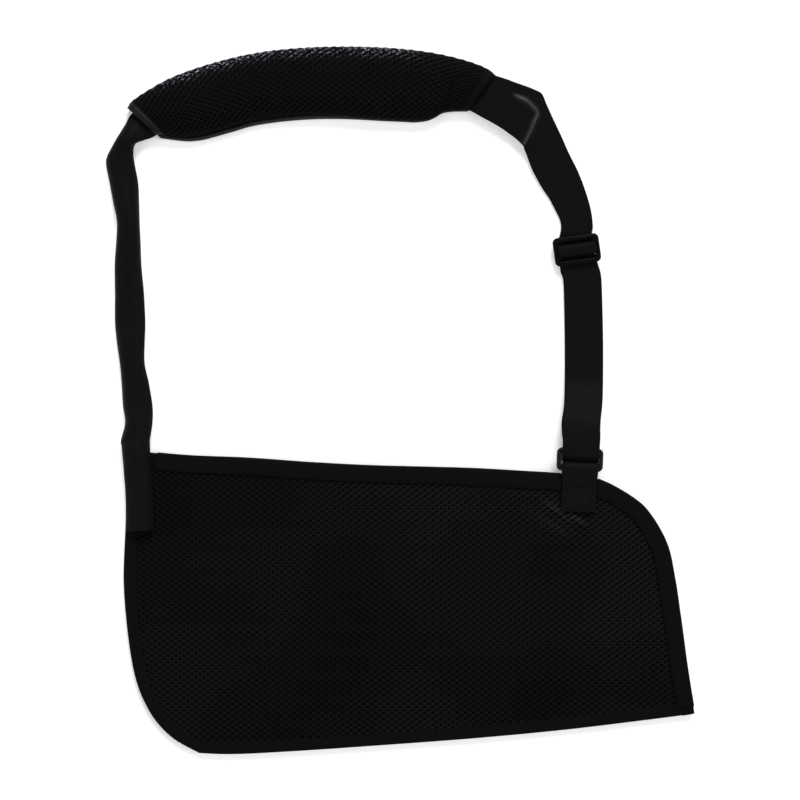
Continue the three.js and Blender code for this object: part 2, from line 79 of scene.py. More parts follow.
def principled(name, colour, roughness, specular=0.5):
    """A new material, with its nodes, links and shader."""
    material = bpy.data.materials.new(name)
    material.use_nodes = True
    nodes = material.node_tree.nodes
    shader = nodes["Principled BSDF"]
    shader.inputs["Base Color"].default_value = (*colour, 1)
    shader.inputs["Roughness"].default_value = roughness
    shader.inputs["Specular IOR Level"].default_value = specular
    return material, nodes, material.node_tree.links, shader


def add_floor():
    bpy.ops.mesh.primitive_plane_add(size=TABLE_SIZE, location=(0, 0, TABLE_Z))
    floor = bpy.context.object
    floor.name = "floor"
    white, _, _, shader = principled("white light table", (0.9, 0.9, 0.9), 0.9, 0.0)
    shader.inputs["Emission Color"].default_value = (1, 1, 1, 1)
    shader.inputs["Emission Strength"].default_value = TABLE_GLOW
    floor.data.materials.append(white)


def add_sun(name, azimuth, elevation, strength, softness):
    data = bpy.data.lights.new(name, "SUN")
    data.energy = strength
    data.angle = math.radians(softness)
    light = bpy.data.objects.new(name, data)
    light.rotation_euler = (math.radians(90 - elevation), 0, math.radians(180 - azimuth))
    bpy.context.scene.collection.objects.link(light)


def add_lights():
    for sun in SUNS:
        add_sun(*sun)
    world = bpy.data.worlds.new("studio")
    world.use_nodes = True
    background = world.node_tree.nodes["Background"]
    background.inputs["Color"].default_value = (1, 1, 1, 1)
    background.inputs["Strength"].default_value = DAYLIGHT
    bpy.context.scene.world = world
    bpy.context.scene.view_settings.view_transform = "Standard"


# ---- materials ---------------------------------------------------------------------------------
KNIT_GRAIN = 2200  # loops per metre
KNIT_DEPTH = 0.00012
CREASE_GRAIN = 900
WEBBING_SHEEN = 0.55
MESH_SHEEN = 0.17
MESH_PATCHES = 0.45
PATCH_SCALE = 7
GLITTER = 1.5
GLITTER_ALONG = (0.045, 0.20)  # metres from the pad's left mouth
GLITTER_ROUND = (0.064, 0.09)  # metres round the cover from its lower seam
GLITTER_TINT = (0.8, 0.84, 1.0, 1)


def calculate(nodes, links, operation, *inputs):
    """The result of a Math node. Its inputs are sockets or numbers."""
    node = nodes.new("ShaderNodeMath")
    node.operation = operation
    for socket, value in zip(node.inputs, inputs):
        if isinstance(value, (int, float)):
            socket.default_value = value
        else:
            links.new(value, socket)
    return node.outputs[0]


def map_range(nodes, links, value, source, target=(0.0, 1.0), interpolation="LINEAR"):
    """A value carried from one range, source, to another, target."""
    node = nodes.new("ShaderNodeMapRange")
    node.interpolation_type = interpolation
    limits = zip(("From Min", "From Max", "To Min", "To Max"), (*source, *target))
    for name, limit in limits:
        node.inputs[name].default_value = limit
    links.new(value, node.inputs["Value"])
    return node.outputs["Result"]


def window(nodes, links, value, low, high, edge):
    """1 where a value lies between low and high, fading to 0 within edge outside them."""
    sides = [
        map_range(nodes, links, value, ends, interpolation="SMOOTHSTEP")
        for ends in ((low - edge, low), (high + edge, high))
    ]
    return calculate(nodes, links, "MULTIPLY", *sides)


def above(nodes, links, value, low, edge):
    """1 where a value is over low, fading to 0 within edge below it."""
    return map_range(nodes, links, value, (low - edge, low), interpolation="SMOOTHSTEP")


def object_noise(nodes, links, scale, detail=2.0):
    """Noise fixed to the object, scale in features per metre."""
    coordinates = nodes.new("ShaderNodeTexCoord")
    noise = nodes.new("ShaderNodeTexNoise")
    noise.inputs["Scale"].default_value = scale
    noise.inputs["Detail"].default_value = detail
    links.new(coordinates.outputs["Object"], noise.inputs["Vector"])
    return noise.outputs["Fac"]


def uv_axes(nodes, links):
    """The UV map's two values, in metres along and round or across a piece."""
    uv = nodes.new("ShaderNodeUVMap")
    split = nodes.new("ShaderNodeSeparateXYZ")
    links.new(uv.outputs["UV"], split.inputs["Vector"])
    return split.outputs["X"], split.outputs["Y"]


def add_bump(nodes, links, shader, height, distance):
    bump = nodes.new("ShaderNodeBump")
    bump.inputs["Strength"].default_value = 1.0
    bump.inputs["Distance"].default_value = distance
    links.new(height, bump.inputs["Height"])
    links.new(bump.outputs["Normal"], shader.inputs["Normal"])


def add_crease_sheen(nodes, links, shader, specular, sheen):
    """Raises the specular level where the mesh's "crease" attribute says that a fold is polished."""
    crease = nodes.new("ShaderNodeAttribute")
    crease.attribute_name = "crease"
    grain = above(nodes, links, object_noise(nodes, links, CREASE_GRAIN, 1.0), 0.5, 0.3)
    polish = calculate(nodes, links, "MULTIPLY", crease.outputs["Fac"], grain)
    level = calculate(nodes, links, "MULTIPLY_ADD", polish, sheen, specular)
    links.new(level, shader.inputs["Specular IOR Level"])


def add_patches(nodes, links, shader, colour, unevenness):
    """Broad lighter and darker patches in a cloth's colour."""
    noise = object_noise(nodes, links, PATCH_SCALE, 1.0)
    patches = map_range(nodes, links, noise, (0.35, 0.65), (1 - unevenness, 1 + unevenness))
    shade = nodes.new("ShaderNodeVectorMath")
    shade.operation = "SCALE"
    shade.inputs[0].default_value = colour
    links.new(patches, shade.inputs["Scale"])
    links.new(shade.outputs["Vector"], shader.inputs["Base Color"])


def knit(name, colour, roughness, specular, grain, depth):
    """Knitted cloth: fine uneven loops."""
    material, nodes, links, shader = principled(name, colour, roughness, specular)
    add_bump(nodes, links, shader, object_noise(nodes, links, grain), depth)
    return material


def mesh_knit(name, colour, roughness, specular):
    """The pouch's cloth, patchy from handling and polished along its folds."""
    material, nodes, links, shader = principled(name, colour, roughness, specular)
    add_bump(nodes, links, shader, object_noise(nodes, links, KNIT_GRAIN), KNIT_DEPTH)
    add_patches(nodes, links, shader, colour, MESH_PATCHES)
    add_crease_sheen(nodes, links, shader, specular, MESH_SHEEN)
    return material


def sparkling_knit(name, colour, roughness):
    """The pad's cloth: its knots glitter along the outer roll, where it is pulled tight."""
    material, nodes, links, shader = principled(name, colour, roughness)
    add_bump(nodes, links, shader, object_noise(nodes, links, KNIT_GRAIN), 0.00016)
    u, v = uv_axes(nodes, links)
    along = window(nodes, links, u, *GLITTER_ALONG, 0.03)
    round_it = window(nodes, links, v, *GLITTER_ROUND, 0.014)
    knots = above(nodes, links, object_noise(nodes, links, 520, 1.0), 0.6, 0.12)
    tight = calculate(nodes, links, "MULTIPLY", along, round_it)
    glitter = calculate(nodes, links, "MULTIPLY", tight, knots)
    level = calculate(nodes, links, "MULTIPLY_ADD", glitter, GLITTER, 0.04)
    links.new(level, shader.inputs["Specular IOR Level"])
    shader.inputs["Specular Tint"].default_value = GLITTER_TINT
    return material


def woven(name, colour, roughness, specular, pitch):
    """Woven tape: its yarns cross in a checker of rounded bumps, and its folds are polished."""
    material, nodes, links, shader = principled(name, colour, roughness, specular)
    waves = []
    for distance in uv_axes(nodes, links):
        turns = calculate(nodes, links, "MULTIPLY", distance, 2 * math.pi / pitch)
        waves.append(calculate(nodes, links, "SINE", turns))
    checker = calculate(nodes, links, "MULTIPLY", *waves)
    fuzz = calculate(nodes, links, "ADD", checker, object_noise(nodes, links, 2600))
    add_bump(nodes, links, shader, fuzz, 0.00005)
    add_crease_sheen(nodes, links, shader, specular, WEBBING_SHEEN)
    return material


def moulded(name, colour, roughness, specular):
    """Moulded plastic: gloss with a faint orange peel."""
    material, nodes, links, shader = principled(name, colour, roughness, specular)
    add_bump(nodes, links, shader, object_noise(nodes, links, 900, 1.0), 0.00003)
    return material


MESH_CLOTH = mesh_knit("mesh cloth", (0.0041, 0.0041, 0.0042), 0.5, 0.035)
# Painted shade: the pit floors get a darker copy of the mesh cloth, standing in for the shade inside the
# holes.
MESH_PIT_SHADE = knit("mesh cloth between the strands, darkened as painted shade", (0.0016, 0.0016, 0.0017), 0.9, 0.02, 1500, 0.00015)
# Painted shade: the falling strands get a darker copy of the mesh cloth, standing in for the shade in the low
# valleys between the pits, so that one diagonal of the net shows more.
MESH_LOW_SHADE = knit("mesh cloth of the falling strands", (0.0022, 0.0022, 0.0023), 0.7, 0.02, KNIT_GRAIN,
                KNIT_DEPTH)
PAD_CLOTH = sparkling_knit("mesh cloth of the pad", (0.0032, 0.0032, 0.0035), 0.3)
ROLL_CLOTH = knit("smooth cloth of the rolled edges", (0.0052, 0.0054, 0.0064), 0.55, 0.1, 2600, 0.00006)
# Painted light: the lower piping gets a lighter copy of the rolled edges' cloth, so that it looks lit although
# it lies in the pad's shadow on the near side.
LIT_PIPING_CLOTH = knit("smooth cloth of the piping", (0.013, 0.0131, 0.0138), 0.5, 0.2, 2600, 0.00006)
HEM_CLOTH = knit("hem cloth", (0.0024, 0.0024, 0.0025), 0.6, 0.03, 2600, 0.0001)
LINING = knit("brushed lining", (0.004, 0.004, 0.0043), 0.95, 0.04, 3000, 0.00012)
FOAM = knit("foam", (0.03, 0.03, 0.033), 0.95, 0.1, 1200, 0.0004)
WEBBING = woven("webbing", (0.0045, 0.0043, 0.0043), 0.42, 0.02, 0.0014)
THREAD = woven("thread", (0.004, 0.004, 0.0041), 0.5, 0.04, 0.0007)
SLIDER_PLASTIC = moulded("black acetal of the slider", (0.0016, 0.0016, 0.0017), 0.42, 0.06)
RING_PLASTIC = moulded("black acetal of the ring", (0.002, 0.002, 0.0021), 0.36, 0.22)


# ---- curves and meshes, all in millimetres -------------------------------------------------------
def smooth(x, low, high):
    t = np.clip((np.asarray(x, float) - low) / (high - low), 0, 1)
    return t * t * (3 - 2 * t)


def unit(v):
    return v / np.maximum(np.linalg.norm(v, axis=-1, keepdims=True), 1e-9)


def resample(path, step):
    """Evenly spaced points along a polyline, about one step apart. Columns may be any quantities."""
    path = np.asarray(path, float)
    run = np.concatenate([[0], np.cumsum(np.linalg.norm(np.diff(path[:, :3], axis=0), axis=1))])
    count = max(int(round(run[-1] / step)), 2)
    at = np.linspace(0, run[-1], count + 1)
    return np.column_stack([np.interp(at, run, column) for column in path.T])


def spline(points, step=1.0):
    """A smooth curve through the points, evenly sampled."""
    p = np.asarray(points, float)
    p = np.vstack([p[:1], p, p[-1:]])
    t = np.linspace(0, 1, 25)[:-1, None]
    pieces = []
    for a, b, c, d in zip(p[:-3], p[1:-2], p[2:-1], p[3:]):
        pieces.append(
            0.5 * (2 * b + (c - a) * t + (2 * a - 5 * b + 4 * c - d) * t**2
                   + (3 * b - a - 3 * c + d) * t**3)
        )
    return resample(np.vstack([*pieces, p[-1:]]), step)


def tangents(path):
    return unit(np.gradient(path, axis=0))


def inward(path, distance):
    """A flat path moved to the right of its run."""
    along = tangents(path[:, :2])
    return path[:, :2] + distance * np.column_stack([along[:, 1], -along[:, 0]])


def mesh_object(name, points, faces, materials, uv=None, marks=None):
    """A mesh from millimetre points and a list of face arrays. marks is each face's material number."""
    flat = np.concatenate([f.ravel() for f in faces])
    sizes = np.concatenate([np.full(len(f), f.shape[1]) for f in faces])
    mesh = bpy.data.meshes.new(name)
    mesh.vertices.add(len(points))
    mesh.vertices.foreach_set("co", (np.asarray(points, float) * MM).ravel())
    mesh.loops.add(len(flat))
    mesh.loops.foreach_set("vertex_index", flat.astype(np.int32))
    mesh.polygons.add(len(sizes))
    starts = np.concatenate([[0], np.cumsum(sizes)[:-1]])
    mesh.polygons.foreach_set("loop_start", starts.astype(np.int32))
    if marks is not None:
        mesh.polygons.foreach_set("material_index", np.asarray(marks, np.int32))
    mesh.update(calc_edges=True)
    mesh.polygons.foreach_set("use_smooth", np.ones(len(sizes), bool))
    if uv is not None:
        layer = mesh.uv_layers.new(name="UVMap")
        layer.data.foreach_set("uv", (np.asarray(uv, float)[flat] * MM).ravel())
    mesh.validate()
    piece = bpy.data.objects.new(name, mesh)
    for material in materials:
        mesh.materials.append(material)
    bpy.context.scene.collection.objects.link(piece)
    return piece


def outward(points, faces):
    """The faces, turned over together if they enclose a negative volume."""
    volume = 0
    for f in faces:
        p = points[f]
        for i in range(1, f.shape[1] - 1):
            volume += np.einsum("ij,ij->", p[:, 0], np.cross(p[:, i], p[:, i + 1]))
    return faces if volume > 0 else [f[:, ::-1] for f in faces]


def tube_faces(rings, count, closed=False):
    """Quads between rings of count points each, with the end rings filled unless it closes on itself."""
    i = np.arange(rings if closed else rings - 1)[:, None] * count
    j = np.arange(count)[None, :]
    k = (j + 1) % count
    following = (i + count) % (rings * count)
    quads = np.stack([i + j, i + k, following + k, following + j], -1).reshape(-1, 4)
    if closed:
        return [quads]
    last = (rings - 1) * count
    pair = np.arange(count // 2 - 1)
    cap = np.column_stack([pair, pair + 1, count - 2 - pair, count - 1 - pair])
    return [quads, cap[:, ::-1], cap + last]


def sweep(name, rings, materials, closed=False, uv=None):
    """A solid through rings, an array of (ring, point, xyz)."""
    points = rings.reshape(-1, 3)
    faces = outward(points, tube_faces(rings.shape[0], rings.shape[1], closed))
    return mesh_object(name, points, faces, materials, uv)


def mark_crease(piece, strength):
    """Writes the "crease" attribute from strength(xy), 0 to 1 at points in millimetres."""
    places = np.empty(3 * len(piece.data.vertices))
    piece.data.vertices.foreach_get("co", places)
    values = piece.data.attributes.new("crease", "FLOAT", "POINT")
    values.data.foreach_set("value", strength(places.reshape(-1, 3)[:, :2] / MM).astype(np.float32))


def join(name, pieces):
    """Several meshes of one piece as one object."""
    bpy.ops.object.select_all(action="DESELECT")
    for piece in pieces:
        piece.select_set(True)
    bpy.context.view_layer.objects.active = pieces[0]
    bpy.ops.object.join()
    pieces[0].name = name
    return pieces[0]


def finish_piece(piece, nodes, body=None, bend=None):
    """Hides the CAD parts that a piece replaces and parents it to the body it rides on; a piece given a bend
    has its transform baked in, and the bend's bodies and points are not used.
    """
    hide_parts(*nodes)
    if body:
        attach(piece, body)
    if bend:
        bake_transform(piece)
    return piece


# ---- webbing ---------------------------------------------------------------------------------------
WEB = 1.5
WEB_WIDTH = 29.5
WEAVE = 1.5  # one yarn's length along and across the tape
WEAVE_STEP = 0.55
YARN = 0.045
SELVEDGE = 0.22  # how far the thick edge stands proud


def yarn_bumps(u, run):
    """Height of the crossing yarns at distances across and along the tape."""
    return YARN * np.sin(2 * np.pi * u / WEAVE)[None, :] * np.sin(2 * np.pi * run / WEAVE)[:, None]


def curl_angle(narrowing):
    """Half the angle that a tape bends across itself to look narrower by this factor."""
    angle = np.linspace(1e-3, 2.2, 400)
    return np.interp(narrowing, (np.sin(angle) / angle)[::-1], angle[::-1])


def ribbon(name, path, width=None, side=None, flat=WEB_WIDTH, tilt=None, thickness=WEB, wave=None):
    """A tape along a path. flat is its width; width is what it spans seen from above, where it is
    curled; side is its direction across, where it goes round a bar; tilt rolls it about its own length;
    wave gives the height of folds at its points."""
    path = np.asarray(path, float)
    count = len(path)
    along = tangents(path)
    across = np.broadcast_to(side, (count, 3)) if side is not None else unit(
        np.column_stack([along[:, 1], -along[:, 0], np.zeros(count)]))
    up = unit(np.cross(across, along))
    if tilt is not None:
        c, s = np.cos(tilt)[:, None], np.sin(tilt)[:, None]
        across, up = across * c + up * s, up * c - across * s
    flat = np.broadcast_to(flat, count)
    width = flat if width is None else width
    bend = curl_angle(np.clip(width / flat, 0.4, 0.9999))
    radius = flat / (2 * bend)
    v = np.linspace(-1, 1, int(flat.max() / WEAVE_STEP))
    turn = bend[:, None] * v
    lift = radius[:, None] * (np.cos(turn) - np.cos(bend)[:, None])
    centre = (path[:, None] + across[:, None] * (radius[:, None] * np.sin(turn))[..., None]
              + up[:, None] * lift[..., None])
    if wave is not None:
        centre += up[:, None] * wave(centre)[..., None]
    normal = across[:, None] * np.sin(turn)[..., None] + up[:, None] * np.cos(turn)[..., None]
    run = np.concatenate([[0], np.cumsum(np.linalg.norm(np.diff(path, axis=0), axis=1))])
    u = v * WEB_WIDTH / 2
    selvedge = SELVEDGE * np.exp(-(((np.abs(u) - WEB_WIDTH / 2 + 1.0) / 0.7) ** 2))
    edge = np.sqrt(np.clip(1 - np.abs(v) ** 24, 0, 1))
    half = (thickness / 2 - 0.1 + selvedge)[None, :] * edge[None, :] + yarn_bumps(u, run)
    top = centre + normal * half[..., None]
    bottom = centre - normal * half[..., None]
    rings = np.concatenate([top, bottom[:, ::-1]], axis=1)
    across_uv = np.concatenate([u, u[::-1]])
    uv = np.stack(np.broadcast_arrays(across_uv[None, :], run[:, None]), -1).reshape(-1, 2)
    return sweep(name, rings, [WEBBING], uv=uv)


# ---- stitches ----------------------------------------------------------------------------------------
def stitches(name, rows, pitch=3.1, length=2.5, radius=0.3):
    """Rows of separate lockstitches. Each row is a path of points just above the cloth."""
    sides, rings = 6, 5
    bead = np.linspace(-1, 1, rings)
    girth = np.sqrt(1 - (bead * 0.94) ** 2)
    angle = 2 * np.pi * np.arange(sides) / sides
    points, faces, uv = [], [], []
    for row in rows:
        spots = resample(row, pitch)
        centre = (spots[1:] + spots[:-1]) / 2
        along = unit(spots[1:] - spots[:-1])
        across = unit(np.cross(along, [0, 0, 1]))
        up = np.cross(across, along)
        for c, t, s, n in zip(centre, along, across, up):
            ring = (c + (length / 2) * bead[:, None, None] * t
                    + radius * girth[:, None, None] * (np.cos(angle)[:, None] * s
                                                       + np.sin(angle)[:, None] * n))
            faces.append(len(points) * sides * rings)
            points.append(ring.reshape(-1, 3))
            uv.append(np.column_stack([np.tile(angle * radius, rings), np.repeat(bead * length, sides)]))
    one = tube_faces(rings, sides)
    all_faces = [np.concatenate([f + start for start in faces]) for f in one]
    cloud = np.vstack(points)
    return mesh_object(name, cloud, outward(cloud, all_faces), [THREAD], np.vstack(uv))


# ---- net cloth ---------------------------------------------------------------------------------------
CELL_X = 6.5
CELL_Y = 4.8
RIDGE = 0.4
STRAND_DIP = 0.6  # the strands that fall to the right lie lower than those that rise
CLOTH = 2.0
SIDES = 8
DIAMOND = np.array([(1, 0), (0.5, 0.5), (0, 1), (-0.5, 0.5), (-1, 0), (-0.5, -0.5), (0, -1), (0.5, -0.5)])
DIAMOND = DIAMOND * (CELL_X / 2, CELL_Y / 2)
FALLING = (1, 5)  # the corners of DIAMOND in the middle of the falling strands
FALLING_SIDES = np.isin(np.arange(SIDES), (*FALLING, *np.subtract(FALLING, 1)))
# The pit and falling-strand numbers pick darker cloths that are painted shade.
NET_STRAND, NET_PIT_SHADE, NET_LOW_SHADE = 0, 1, 2  # material numbers
ROUNDING = np.tile([[1.0], [1.12]], (SIDES // 2, 1))  # the holes are rounder than the net's diamonds


def cell_centres(low, high):
    rows = np.arange(low[1], high[1], CELL_Y / 2)
    return np.vstack([
        np.column_stack([u, np.full(len(u), v)])
        for k, v in enumerate(rows)
        for u in [np.arange(low[0] + (k % 2) * CELL_X / 2, high[0], CELL_X)]
    ])


def net(name, centres, surface, thickness=CLOTH, strand=MESH_CLOTH):
    """Spacer mesh: a slab with a staggered net of strands round pits on one face. surface(uv) gives
    points of the outer face and its normals."""
    n = len(centres)
    corners = (centres[:, None] + DIAMOND).reshape(-1, 2)
    _, first, index = np.unique(np.round(corners, 2), axis=0, return_index=True, return_inverse=True)
    shared = corners[first]
    m = len(shared)
    outer = index.reshape(n, SIDES)
    rim_uv = (centres[:, None] + 0.7 * ROUNDING * DIAMOND).reshape(-1, 2)
    deep_uv = (centres[:, None] + 0.5 * ROUNDING * DIAMOND).reshape(-1, 2)
    falling = np.isin(first % SIDES, FALLING)[:, None]
    levels = [(shared, RIDGE - STRAND_DIP * falling), (rim_uv, 0.1), (deep_uv, -0.75), (shared, -thickness)]
    points = []
    for uv, level in levels:
        place, normal = surface(uv)
        points.append(place + normal * level)
    rim = m + np.arange(SIDES * n).reshape(n, SIDES)
    deep = rim + SIDES * n
    below = m + 2 * SIDES * n
    bottom = outer + below
    turned = np.roll(np.arange(SIDES), -1)

    def skirt(high_ring, low_ring):
        quads = [high_ring, high_ring[:, turned], low_ring[:, turned], low_ring]
        return np.stack(quads, -1).reshape(-1, 4)

    a, b = outer.ravel(), outer[:, turned].ravel()
    border = ~np.isin(a * m + b, b * m + a)
    wall = np.column_stack([b, a, a + below, b + below])[border]
    faces = [skirt(outer, rim), skirt(rim, deep), deep, bottom[:, ::-1], wall]
    # The pit floors take the darker cloth, which is painted shade.
    kinds = [NET_STRAND, NET_STRAND, NET_PIT_SHADE, NET_STRAND, NET_STRAND]
    marks = np.concatenate([np.full(len(f), kind) for f, kind in zip(faces, kinds)])
    # The falling strands' sides take the darker cloth, which is painted shade.
    marks[: SIDES * n] = np.tile(np.where(FALLING_SIDES, NET_LOW_SHADE, NET_STRAND), n)
    cloud = np.vstack(points)
    uv = np.vstack([flat for flat, _ in levels])
    return mesh_object(name, cloud, outward(cloud, faces), [strand, MESH_PIT_SHADE, MESH_LOW_SHADE], uv, marks)


# ---- pouch ---------------------------------------------------------------------------------------------
ELBOW_TOP = (-220, -41)
FOLD_START = (-209, -41)
HAND_CORNER = (234.7, -250)
SEWN_EDGE = spline([ELBOW_TOP, (-218.5, -90), (-220, -150), (-213, -212), (-201, -246), (-183, -268),
                    (-160, -281.5)])
BOTTOM_EDGE = spline([(-160, -281.5), (-132, -282.3), (-84, -279.9), (-12, -275), (60, -269.6),
                      (132, -262.8), (204, -254.1), HAND_CORNER])
TOP_EDGE = spline([FOLD_START, (-168, -44.6), (-120, -46.6), (-72, -50), (-24, -52.5), (24, -53.8),
                   (60, -54.9), (97, -57), (130, -59.2), (158, -63.5), (185, -78), (199.3, -92.1),
                   (212, -115.4), (217.9, -142), (222.4, -172), (227.5, -208), HAND_CORNER])
# Both edges run clockwise round the pouch, so inward() moves them into the cloth.
SEWN = np.vstack([SEWN_EDGE, BOTTOM_EDGE[1:]])[::-1]
OUTLINE = np.vstack([TOP_EDGE, SEWN[1:]])
OUTLINE_DENSE = resample(np.vstack([OUTLINE, OUTLINE[:1]]), 1.0)
NET_INSET = 4.2  # the net stops this far inside the outline, under the margins and hems
MARGIN_WIDTH = 9.5
MARGIN_THICKNESS = 0.35
HEM_TOP = 1.35
BILLOW = 5.4
BILLOW_REACH = 70
SEAM_TAPE = 0.8
GAP = 0.3
HEM_WIDTH = 13
TAB_SPAN = (130.0, 157.0)  # the ring's tab interrupts the hem between these two x
# Soft folds of the front panel: start, end, width and height.
FRONT_FOLDS = [
    ((116, -82), (150, -101), 3.0, 2.4), ((110, -93), (142, -114), 4.0, 1.3),
    ((-190, -60), (-120, -118), 16, 1.1), ((-205, -232), (-150, -262), 9, 0.8),
    ((150, -215), (212, -182), 22, 1.0),
]
# Where the first two shine: start, end, width and strength.
TAB_SHEEN = [((116, -82), (143, -97), 4.0, 1.0), ((110, -93), (132, -108), 4.0, 0.4)]
FOLD_ALONG = unit(np.subtract(HAND_CORNER, FOLD_START))
FOLD_ACROSS = np.array([-FOLD_ALONG[1], FOLD_ALONG[0]])


def distance_to(path, points):
    """Each point's distance to a dense polyline."""
    found = np.empty(len(points))
    for start in range(0, len(points), 4000):
        block = points[start : start + 4000]
        gaps = block[:, None] - path[None, :, :2]
        found[start : start + 4000] = np.sqrt((gaps**2).sum(-1)).min(1)
    return found


def is_inside(polygon, points):
    x, y = points.T
    found = np.zeros(len(points), bool)
    for (xa, ya), (xb, yb) in zip(polygon, np.roll(polygon, -1, axis=0)):
        if ya != yb:
            crosses = (ya > y) != (yb > y)
            found ^= crosses & (x < (xb - xa) * (y - ya) / (yb - ya) + xa)
    return found


def crease(points, start, end, width, height):
    """A soft ridge along a line, fading at both ends."""
    start, end = np.array(start, float), np.array(end, float)
    run = end - start
    t = ((points - start) @ run) / (run @ run)
    off = (points - start) @ np.array([-run[1], run[0]]) / np.linalg.norm(run)
    return height * np.exp(-((off / width) ** 2)) * smooth(t, -0.3, 0.25) * (1 - smooth(t, 0.7, 1.3))


def ripples(points):
    """Slow unevenness of cloth that was laid down by hand, from -1 to 1."""
    x, y = points.T
    return (np.sin(x / 47 + 0.6 * np.sin(y / 39)) * np.sin(y / 33 + 1.1 + 0.5 * np.sin(x / 61))
            + 0.5 * np.sin(x / 23 - y / 31 + 2.0)) / 1.5


def tab_folds(points):
    """1 along the two folds that the ring's pull puts in the front panel, 0 away from them."""
    return sum(crease(points, *fold) for fold in TAB_SHEEN)


def front_height(points):
    """Height of the front panel's outer face."""
    near = distance_to(SEWN, points)
    rise = BILLOW * smooth(near, 0, BILLOW_REACH)
    free = smooth(near, 4, 40) * smooth(distance_to(TOP_EDGE, points), 8, 40)
    folds = sum(crease(points, *fold) for fold in FRONT_FOLDS)
    return 2 * CLOTH + SEAM_TAPE + 2 * GAP + rise + free * (0.8 * ripples(points) + folds)


def back_height(points):
    return np.full(len(points), CLOTH)


def raised(height, face=1):
    """A surface for net() from a height over the floor. Face -1 is the underside."""
    def surface(uv):
        z = height(uv) if face > 0 else np.zeros(len(uv))
        step = 0.5
        slope_x = (height(uv + [step, 0]) - height(uv - [step, 0])) / (2 * step)
        slope_y = (height(uv + [0, step]) - height(uv - [0, step])) / (2 * step)
        normal = unit(np.column_stack([-slope_x, -slope_y, np.ones(len(uv))])) * face
        return np.column_stack([uv, z]), normal
    return surface


def edge_strip(name, path, section, height, materials):
    """A strip along an edge of the cloth. section is a closed ring of (inward distance, height above
    the cloth's face)."""
    rings = []
    for inset, lift in section:
        spot = inward(path, inset)
        ground = height(inward(path, max(inset, 0)))
        rings.append(np.column_stack([spot, ground + lift]))
    return sweep(name, np.stack(rings, axis=1), materials)


def folded_section(low, high, width, outside, thickness=0.8):
    """A turned edge: a lip that lies on the cloth and goes round its edge from high down to low."""
    return [
        (width + 0.2, high - thickness * 0.6), (width - 0.4, high - 0.08), (width * 0.6, high + 0.04),
        (width * 0.3, high), (0.6, high - 0.05), (-outside * 0.6, high - 0.5), (-outside, high - 1.2),
        (-outside, low + 0.9), (-outside * 0.6, low + 0.2), (0.8, low),
        (2.4, low + 0.1), (2.6, high - thickness - 0.1), (width * 0.6, high - thickness),
        (width, high - thickness),
    ]


def cloth_cells():
    """Centres of the net's cells inside the outline."""
    low = OUTLINE.min(0) - 1
    high = OUTLINE.max(0) + 1
    centres = cell_centres(low, high)
    keep = is_inside(OUTLINE, centres) & (distance_to(OUTLINE_DENSE, centres) > NET_INSET)
    return centres[keep]


DIAGONAL_BEND = (
    "pouch", "pouch_front",
    (*(np.array(FOLD_START) - 10 * FOLD_ACROSS), 0), (*(np.array(FOLD_START) + 100 * FOLD_ACROSS), 0),
)


def add_front_panel():
    cloth = net("front_net", cloth_cells(), raised(front_height))
    mark_crease(cloth, tab_folds)
    margin = folded_section(-CLOTH, 0.5, MARGIN_WIDTH, 0.0, MARGIN_THICKNESS)
    sewn_margin = edge_strip("sewn_margin", SEWN, margin, front_height, [HEM_CLOTH])
    free_margin = edge_strip("free_margin", TOP_EDGE, margin, front_height, [HEM_CLOTH])
    panel = join("front_panel", [cloth, sewn_margin, free_margin])
    return finish_piece(panel, ["front_panel_lower", "front_panel_upper"], bend=DIAGONAL_BEND)


def add_back_panel():
    cloth = net("back_net", cloth_cells(), raised(back_height, -1))
    margin = folded_section(-CLOTH, 0.1, MARGIN_WIDTH, 0.0, MARGIN_THICKNESS)
    edges = [
        edge_strip("back_margin", path[::2], margin, back_height, [HEM_CLOTH]) for path in (SEWN, TOP_EDGE)
    ]
    panel = join("back_panel_cloth", [cloth, *edges])
    return finish_piece(panel, ["back_panel"], body="pouch")


def add_hems():
    hem = folded_section(-CLOTH - 0.1, HEM_TOP, HEM_WIDTH, 0.9)
    back_hem = folded_section(-CLOTH + 0.1, 1.1, HEM_WIDTH, 0.5)
    made = {}
    before_tab = TOP_EDGE[TOP_EDGE[:, 0] < TAB_SPAN[0]]
    after_tab = TOP_EDGE[TOP_EDGE[:, 0] > TAB_SPAN[1]]
    for name, path in (("top", before_tab[16:]), ("hand", after_tab[:-6])):
        front = edge_strip(f"{name}_hem", path, hem, front_height, [HEM_CLOTH])
        finish_piece(front, [f"front_{name}_hem"], bend=DIAGONAL_BEND)
        back = edge_strip(f"{name}_hem_back", path[::2], back_hem, back_height, [HEM_CLOTH])
        finish_piece(back, [f"back_{name}_hem"], body="pouch")
        rows = []
        for inset in (HEM_WIDTH - 2.0, 2.2):
            line = inward(path[6:-4], inset)
            rows.append(np.column_stack([line, front_height(line) + HEM_TOP + 0.07]))
        thread = stitches(f"{name}_hem_stitches", rows)
        finish_piece(thread, [f"{name}_hem_thread"], bend=DIAGONAL_BEND)
        made[name] = (front, back, thread)
    return made


def add_seam():
    line = inward(SEWN, 7.2)[8:-30]
    thread = stitches("seam_stitches", [np.column_stack([line, front_height(line) + 0.55])])
    finish_piece(thread, ["seam_thread"], body="pouch")
    path = SEWN[6:-20]
    ground = np.full(len(path), CLOTH + GAP)
    section = [(-0.5, 0.4), (-0.3, 0.75), (3, SEAM_TAPE), (7, SEAM_TAPE), (7.2, 0.4), (7, 0), (3, 0),
               (-0.3, 0.05)]
    rings = [np.column_stack([inward(path, inset), ground + lift]) for inset, lift in section]
    tape = sweep("seam_tape_strip", np.stack(rings, axis=1), [HEM_CLOTH])
    finish_piece(tape, ["seam_tape"], body="pouch")
    return thread, tape


